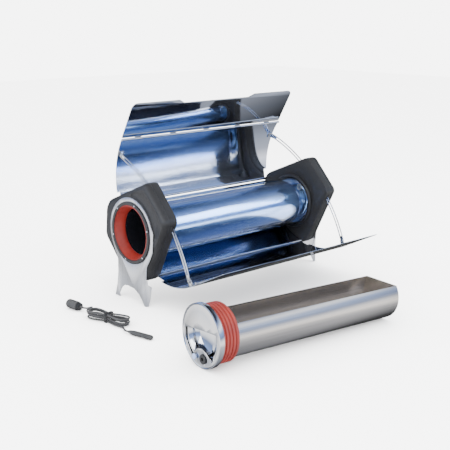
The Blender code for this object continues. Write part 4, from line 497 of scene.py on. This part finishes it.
# Profiles as pairs of a step along the tube and a step across, or a radius where it says so
SCREW_HEAD = ((0.0004, 0.0), (0.0004, 0.0009), (0.0010, 0.0010), (0.0010, 0.0019), (0.0006, 0.0026),
              (-0.0008, 0.0026), (-0.0008, 0.0))           # out from the ring's face, and its radius
FUNNEL_OUTER_LIP = ((0.0004, 0.0022), (0.0014, 0.0))       # back from the mouth's face, in from its outside
FUNNEL_OUTER_X, FUNNEL_BACK_X, FUNNEL_THROAT_X = -0.2900, -0.2858, -0.2893
FUNNEL_FLARE = ((-0.2980, 0.0025), (-0.3060, 0.0058))      # place along the tube, out from its bore
FUNNEL_INNER_LIP = ((0.0030, 0.0018), (0.0006, 0.0010))    # back from the face, in from the glass's outside
COVER_INNER_X = 0.2954
COVER_DISH = ((0.0, 0.0040), (0.0045, 0.0100), (0.0060, 0.0150))       # in from the face, in from the rim
COVER_BOSS = ((0.0060, 0.0240), (0.0050, 0.0215), (0.0050, 0.0))       # in from the face, and its radius
COLLAR_SEAT_X, COLLAR_DEPTH, COLLAR_SLEEVE_X, COLLAR_SLEEVE_WALL = 0.2680, 0.0060, 0.2800, 0.0029
COLLAR_RADIUS = 0.0790
COLLAR_RIBS = ((0.0, 0.0760), (0.0014, 0.0782), (0.0026, COLLAR_RADIUS), (0.0036, 0.0782),
               (0.0044, COLLAR_RADIUS))                    # back from the front face, and its radius
mouth_x = -(RING_X + RING_THICKNESS)
seal_out = HUB_BORE - GAP
funnel_profile = [(mouth_x + along, seal_out - drop) for along, drop in FUNNEL_OUTER_LIP]
funnel_profile += [(FUNNEL_OUTER_X, seal_out), (FUNNEL_BACK_X, TUBE_RADIUS), (FUNNEL_BACK_X, BORE_RADIUS),
                   (FUNNEL_THROAT_X, BORE_RADIUS)]
funnel_profile += [(x, BORE_RADIUS + rise) for x, rise in FUNNEL_FLARE]
funnel_profile += [(mouth_x + along, TUBE_RADIUS - drop) for along, drop in FUNNEL_INNER_LIP]
seal = turned("mouth_funnel", funnel_profile, OVEN, edge=0.0005, steps=96)
settle(seal, "oven", silicone, ["mouth_seal"])


def screw_ring(name, side, node):
    """The screwed ring with its six screws."""
    x0, x1 = side * RING_X, side * (RING_X + RING_THICKNESS)
    ring = turned(name, [(x0, HUB_BORE), (x0, RING_RADIUS), (x1, RING_RADIUS), (x1, HUB_BORE)], OVEN,
                  edge=0.0008, steps=96)
    settle(ring, "oven", black_plastic, [node])
    for number in range(SCREWS):
        angle = 2 * math.pi * (number + 0.5) / SCREWS
        centre = (SCREW_CIRCLE * math.cos(angle), SCREW_CIRCLE * math.sin(angle))
        head_profile = [(x1 + side * out, radius) for out, radius in SCREW_HEAD]
        head = turned("%s_screw_%d" % (name, number), head_profile, OVEN, centre, edge=0.0001, steps=20)
        settle(head, "oven", polished_steel)


screw_ring("mouth_screw_ring", -1, "mouth_ring")
screw_ring("end_screw_ring", 1, "end_ring")
cover_x = RING_X + RING_THICKNESS
cover_profile = [(COVER_INNER_X, 0.0), (COVER_INNER_X, seal_out), (cover_x, seal_out)]
cover_profile += [(cover_x - depth, seal_out - inset) for depth, inset in COVER_DISH]
cover_profile += [(cover_x - depth, radius) for depth, radius in COVER_BOSS]
cover = turned("dished_end_cover", cover_profile, OVEN, edge=0.0008, steps=96)
settle(cover, "oven", black_plastic, ["end_cover"])
sleeve_radius = TUBE_RADIUS + 2 * GAP + COLLAR_SLEEVE_WALL
for side, word in ((-1, "left"), (1, "right")):
    back_x = side * (COLLAR_SEAT_X - GAP)
    front_x = back_x - side * COLLAR_DEPTH
    sleeve_x = side * COLLAR_SLEEVE_X
    tube_collar_profile = [(front_x, TUBE_RADIUS + GAP)]
    tube_collar_profile += [(front_x + side * along, radius) for along, radius in COLLAR_RIBS]
    tube_collar_profile += [(back_x, COLLAR_RADIUS), (back_x, sleeve_radius), (sleeve_x, sleeve_radius),
                            (sleeve_x, TUBE_RADIUS + GAP)]
    collar = turned(word + "_ribbed_collar", tube_collar_profile, OVEN, edge=0.0003, steps=96)
    settle(collar, "oven", black_plastic, [word + "_tube_collar"])
for node, material in (("getter_cap", getter_metal), ("tube_clip", polished_steel), ("tube_end_cup", rubber)):
    refined(node, material, 0.0002)
print("ends done")

# %% [markdown]
# The other parts keep their fixed shape, which is already right. A copy of each gets its triangles
# joined into clean faces, its edges broken by a fraction of a millimetre, and its own finish.

# %% Housings, mirrors, struts and legs
for word in ("left", "right"):
    refined(word + "_outer_shell", charcoal, 0.0004)
    refined(word + "_inner_shell", charcoal, 0.0004)
    refined(word + "_leg", leg_steel, 0.0004)
    for level in ("upper", "lower"):
        refined("%s_shell_screw_%s" % (word, level), polished_steel, 0.0002)
        refined("%s_strut_%s" % (level, word), polished_steel, 0.0003)
        refined("%s_bracket_%s" % (level, word), polished_steel, 0.0002)
        refined("%s_strut_pin_%s" % (level, word), polished_steel, 0.0002)
refined("back_mirror", mirror, 0.0)
for level in ("upper", "lower"):
    refined(level + "_reflector", mirror, 0.0)
    refined(level + "_extension", mirror, 0.0003)
    refined(level + "_hinge_strip", polished_steel, 0.0)
    refined(level + "_hinge_rod", polished_steel, 0.0002)
    refined(level + "_fold_rod", polished_steel, 0.0002)
print("copied parts dressed")

# %% [markdown]
# The tray's disc is a pressed steel lid with a domed face and a rolled rim. A D-shaped opening lets
# fingers into the cup behind it, and a boss at the foot holds the socket and the button.

# %% Tray
for node, material in (("tray_disc", polished_steel), ("grip_cup", polished_steel),
                       ("power_socket", black_plastic), ("power_button", button_blue),
                       ("tray_bulkhead", trough_steel), ("tray_trough", trough_steel),
                       ("heating_rod", polished_steel)):
    refined(node, material, 0.0003)
STOPPER_START, STOPPER_LENGTH, RIBS = 0.0125, 0.0430, 5
RIB_RADIUS, GROOVE_RADIUS, STOPPER_BORE = 0.0655, 0.0625, 0.0500
RIB_SHAPE = ((0.06, 0.0012), (0.14, 0.0), (0.60, 0.0), (0.70, 0.0012))   # share of the pitch, in from the rib
GROOVE_SHARES = (0.78, 0.96)
pitch = STOPPER_LENGTH / RIBS
stopper_profile = [(STOPPER_START, STOPPER_BORE), (STOPPER_START, GROOVE_RADIUS)]
for number in range(RIBS):
    start = STOPPER_START + pitch * number
    stopper_profile += [(start + pitch * share, RIB_RADIUS - drop) for share, drop in RIB_SHAPE]
    stopper_profile += [(start + pitch * share, GROOVE_RADIUS) for share in GROOVE_SHARES]
stopper_end = STOPPER_START + STOPPER_LENGTH
stopper_profile += [(stopper_end, GROOVE_RADIUS), (stopper_end, STOPPER_BORE)]
stopper = turned("ribbed_stopper", stopper_profile, TRAY, edge=0.0003, steps=96)
settle(stopper, "tray", silicone, ["tray_stopper"])
print("tray dressed")

# %% [markdown]
# The plug is a moulded rubber barrel with a ribbed collar, and the connector is a slim moulded
# sleeve. They lie on the floor, so each is turned about its own level line.

# %% Plug and connector
PLUG_RIBS, PLUG_RIB_START, PLUG_RIB_PITCH = 4, 0.0012, 0.0018
PLUG_RIB = ((0.0, 0.0098), (0.0008, 0.0098), (0.0010, 0.0090), (0.0016, 0.0090))   # along, and its radius
PLUG_COLLAR_ENDS = (0.0078, 0.0094)
# Rounded ends as steps along from the end and in from the radius, grooves as shares of the length
PLUG_REAR_EDGE = ((GAP, 0.0015), (0.0020, 0.0))
PLUG_GROOVE = ((0.62, 0.0), (0.64, 0.0008), (0.66, 0.0))
PLUG_NOSE_EDGE = ((0.0035, 0.0), (0.0010, 0.0012), (0.0, 0.0035))
CONNECTOR_REAR_EDGE = ((0.0, 0.0028), (0.0060, 0.0014), (0.0160, 0.0))
CONNECTOR_GROOVE = ((0.55, 0.0), (0.57, 0.0006), (0.60, 0.0))
CONNECTOR_NOSE_EDGE = ((0.0040, 0.0), (0.0010, 0.0015), (0.0, 0.0030))


def lying(rear, nose, radius):
    """Frame whose X axis runs along the floor from rear to nose."""
    heading = math.atan2(nose[1] - rear[1], nose[0] - rear[0])
    return STAND @ Matrix.Translation((*rear, radius)) @ Matrix.Rotation(heading, 4, "Z")


def grooved_bar(start, end, radius, rear_edge, groove, nose_edge):
    """A bar's closed profile with its rear edge, a groove round it and its nose."""
    profile = [(start + rear_edge[0][0], 0.0)]
    profile += [(start + along, radius - drop) for along, drop in rear_edge]
    profile += [(end * share, radius - drop) for share, drop in groove]
    profile += [(end - along, radius - drop) for along, drop in nose_edge]
    return profile + [(end, 0.0)]


plug_frame = lying(PLUG_REAR, PLUG_NOSE, PLUG_RADIUS)
plug_length = math.dist(PLUG_REAR, PLUG_NOSE)
collar_profile = [(0.0, 0.0), (0.0, PLUG_COLLAR_ENDS[0])]
for number in range(PLUG_RIBS):
    x = PLUG_RIB_START + number * PLUG_RIB_PITCH
    collar_profile += [(x + along, radius) for along, radius in PLUG_RIB]
del collar_profile[-2:]
collar_profile += [(PLUG_COLLAR_LENGTH, PLUG_COLLAR_ENDS[1]), (PLUG_COLLAR_LENGTH, 0.0)]
plug_collar = turned("plug_ribbed_collar", collar_profile, plug_frame, edge=0.0001, steps=40)
settle(plug_collar, "stand", black_plastic, ["plug_collar"])
plug_profile = grooved_bar(PLUG_COLLAR_LENGTH, plug_length, PLUG_RADIUS, PLUG_REAR_EDGE, PLUG_GROOVE,
                           PLUG_NOSE_EDGE)
plug = turned("vehicle_plug", plug_profile, plug_frame, edge=0.0003, steps=48)
settle(plug, "stand", rubber, ["cord_plug"])
connector_frame = lying(CONNECTOR_REAR, CONNECTOR_NOSE, CONNECTOR_RADIUS)
connector_length = math.dist(CONNECTOR_REAR, CONNECTOR_NOSE)
connector_profile = grooved_bar(0.0, connector_length, CONNECTOR_RADIUS, CONNECTOR_REAR_EDGE,
                                CONNECTOR_GROOVE, CONNECTOR_NOSE_EDGE)
connector = turned("slim_connector", connector_profile, connector_frame, edge=0.0003, steps=40)
settle(connector, "stand", rubber, ["cord_connector"])
tie = refined("hank_tie", black_plastic, 0.0003)
print("cord ends done")

# %% [markdown]
# A white seamless floor in white light shows the shape with only soft shadows. Mirrors show what
# is round them, so glossy rays see a sky of their own: white low down, blue bands higher up, dark
# overhead and behind on the right. The tube picks these up, and the mirrors pick up the tube. The
# floor and two of the three lights are hidden from glossy rays, so they leave no glare.

# %% Studio
bpy.ops.object.select_all(action="DESELECT")
bpy.ops.mesh.primitive_plane_add(size=14.0, location=(0.0, 0.0, -0.0004))
floor = bpy.context.object
floor.name = "floor"
floor_paint, tree, shader = surface("matt white floor paint", "f6f6f6", 0.9)
shader.inputs["Specular IOR Level"].default_value = 0.1
floor.data.materials.append(floor_paint)
floor.visible_glossy = False


def soft_light(name, place, aim, size, power, hex_colour="ffffff", mirrored=True):
    """A square area light turned towards a point, which mirrors see or don't."""
    lamp = bpy.data.lights.new(name, "AREA")
    lamp.size = size
    lamp.energy = power
    lamp.color = linear(hex_colour)[:3]
    made = bpy.data.objects.new(name, lamp)
    made.location = place
    made.rotation_euler = (Vector(aim) - Vector(place)).to_track_quat("-Z", "Y").to_euler()
    made.visible_glossy = mirrored
    bpy.context.collection.objects.link(made)


soft_light("top_light", (-0.3, -0.4, 2.6), (0.0, 0.1, 0.1), 2.2, 60.0, mirrored=False)
soft_light("left_light", (-2.6, -0.9, 1.5), (0.0, 0.0, 0.2), 1.5, 34.0)
soft_light("right_light", (1.89, -1.59, 1.31), (0.0, 0.0, 0.2), 1.1, 46.0, "f2f8ff", mirrored=False)
world = bpy.data.worlds.new("studio")
bpy.context.scene.world = world
world.use_nodes = True
tree = world.node_tree
where = add(tree, "ShaderNodeTexCoord")
split = add(tree, "ShaderNodeSeparateXYZ", [("Vector", where.outputs["Generated"])])
height = between(tree, split.outputs["Z"], 0.0, 1.0, -1.0, 1.0)
sky = blended(tree, height, (0.0, "5c6069"), (0.28, "a8acb4"), (0.36, "fafafb"), (0.42, "dfe3ea"),
              (0.5, "66779c"), (0.62, "7f9bd0"), (0.72, "e6f1fd"), (0.83, "7d8cb2"), (0.9, "1c2130"))
across = add(tree, "ShaderNodeVectorMath", [(0, where.outputs["Generated"])], operation="DOT_PRODUCT")
across.inputs[1].default_value = (1.0, 1.0, 0.0)
backdrop = tree.nodes["Background"]
tree.links.new(sky, backdrop.inputs["Color"])
tree.links.new(between(tree, across.outputs["Value"], 2.4, 0.12, 0.3, 1.0), backdrop.inputs["Strength"])
white = add(tree, "ShaderNodeBackground", Color=linear("ffffff"), Strength=6.5)
ray = add(tree, "ShaderNodeLightPath")
mixed = add(tree, "ShaderNodeMixShader", [(0, ray.outputs["Is Glossy Ray"]), (1, white.outputs["Background"]),
                                          (2, backdrop.outputs["Background"])])
tree.links.new(mixed.outputs["Shader"], tree.nodes["World Output"].inputs["Surface"])
print("studio ready")
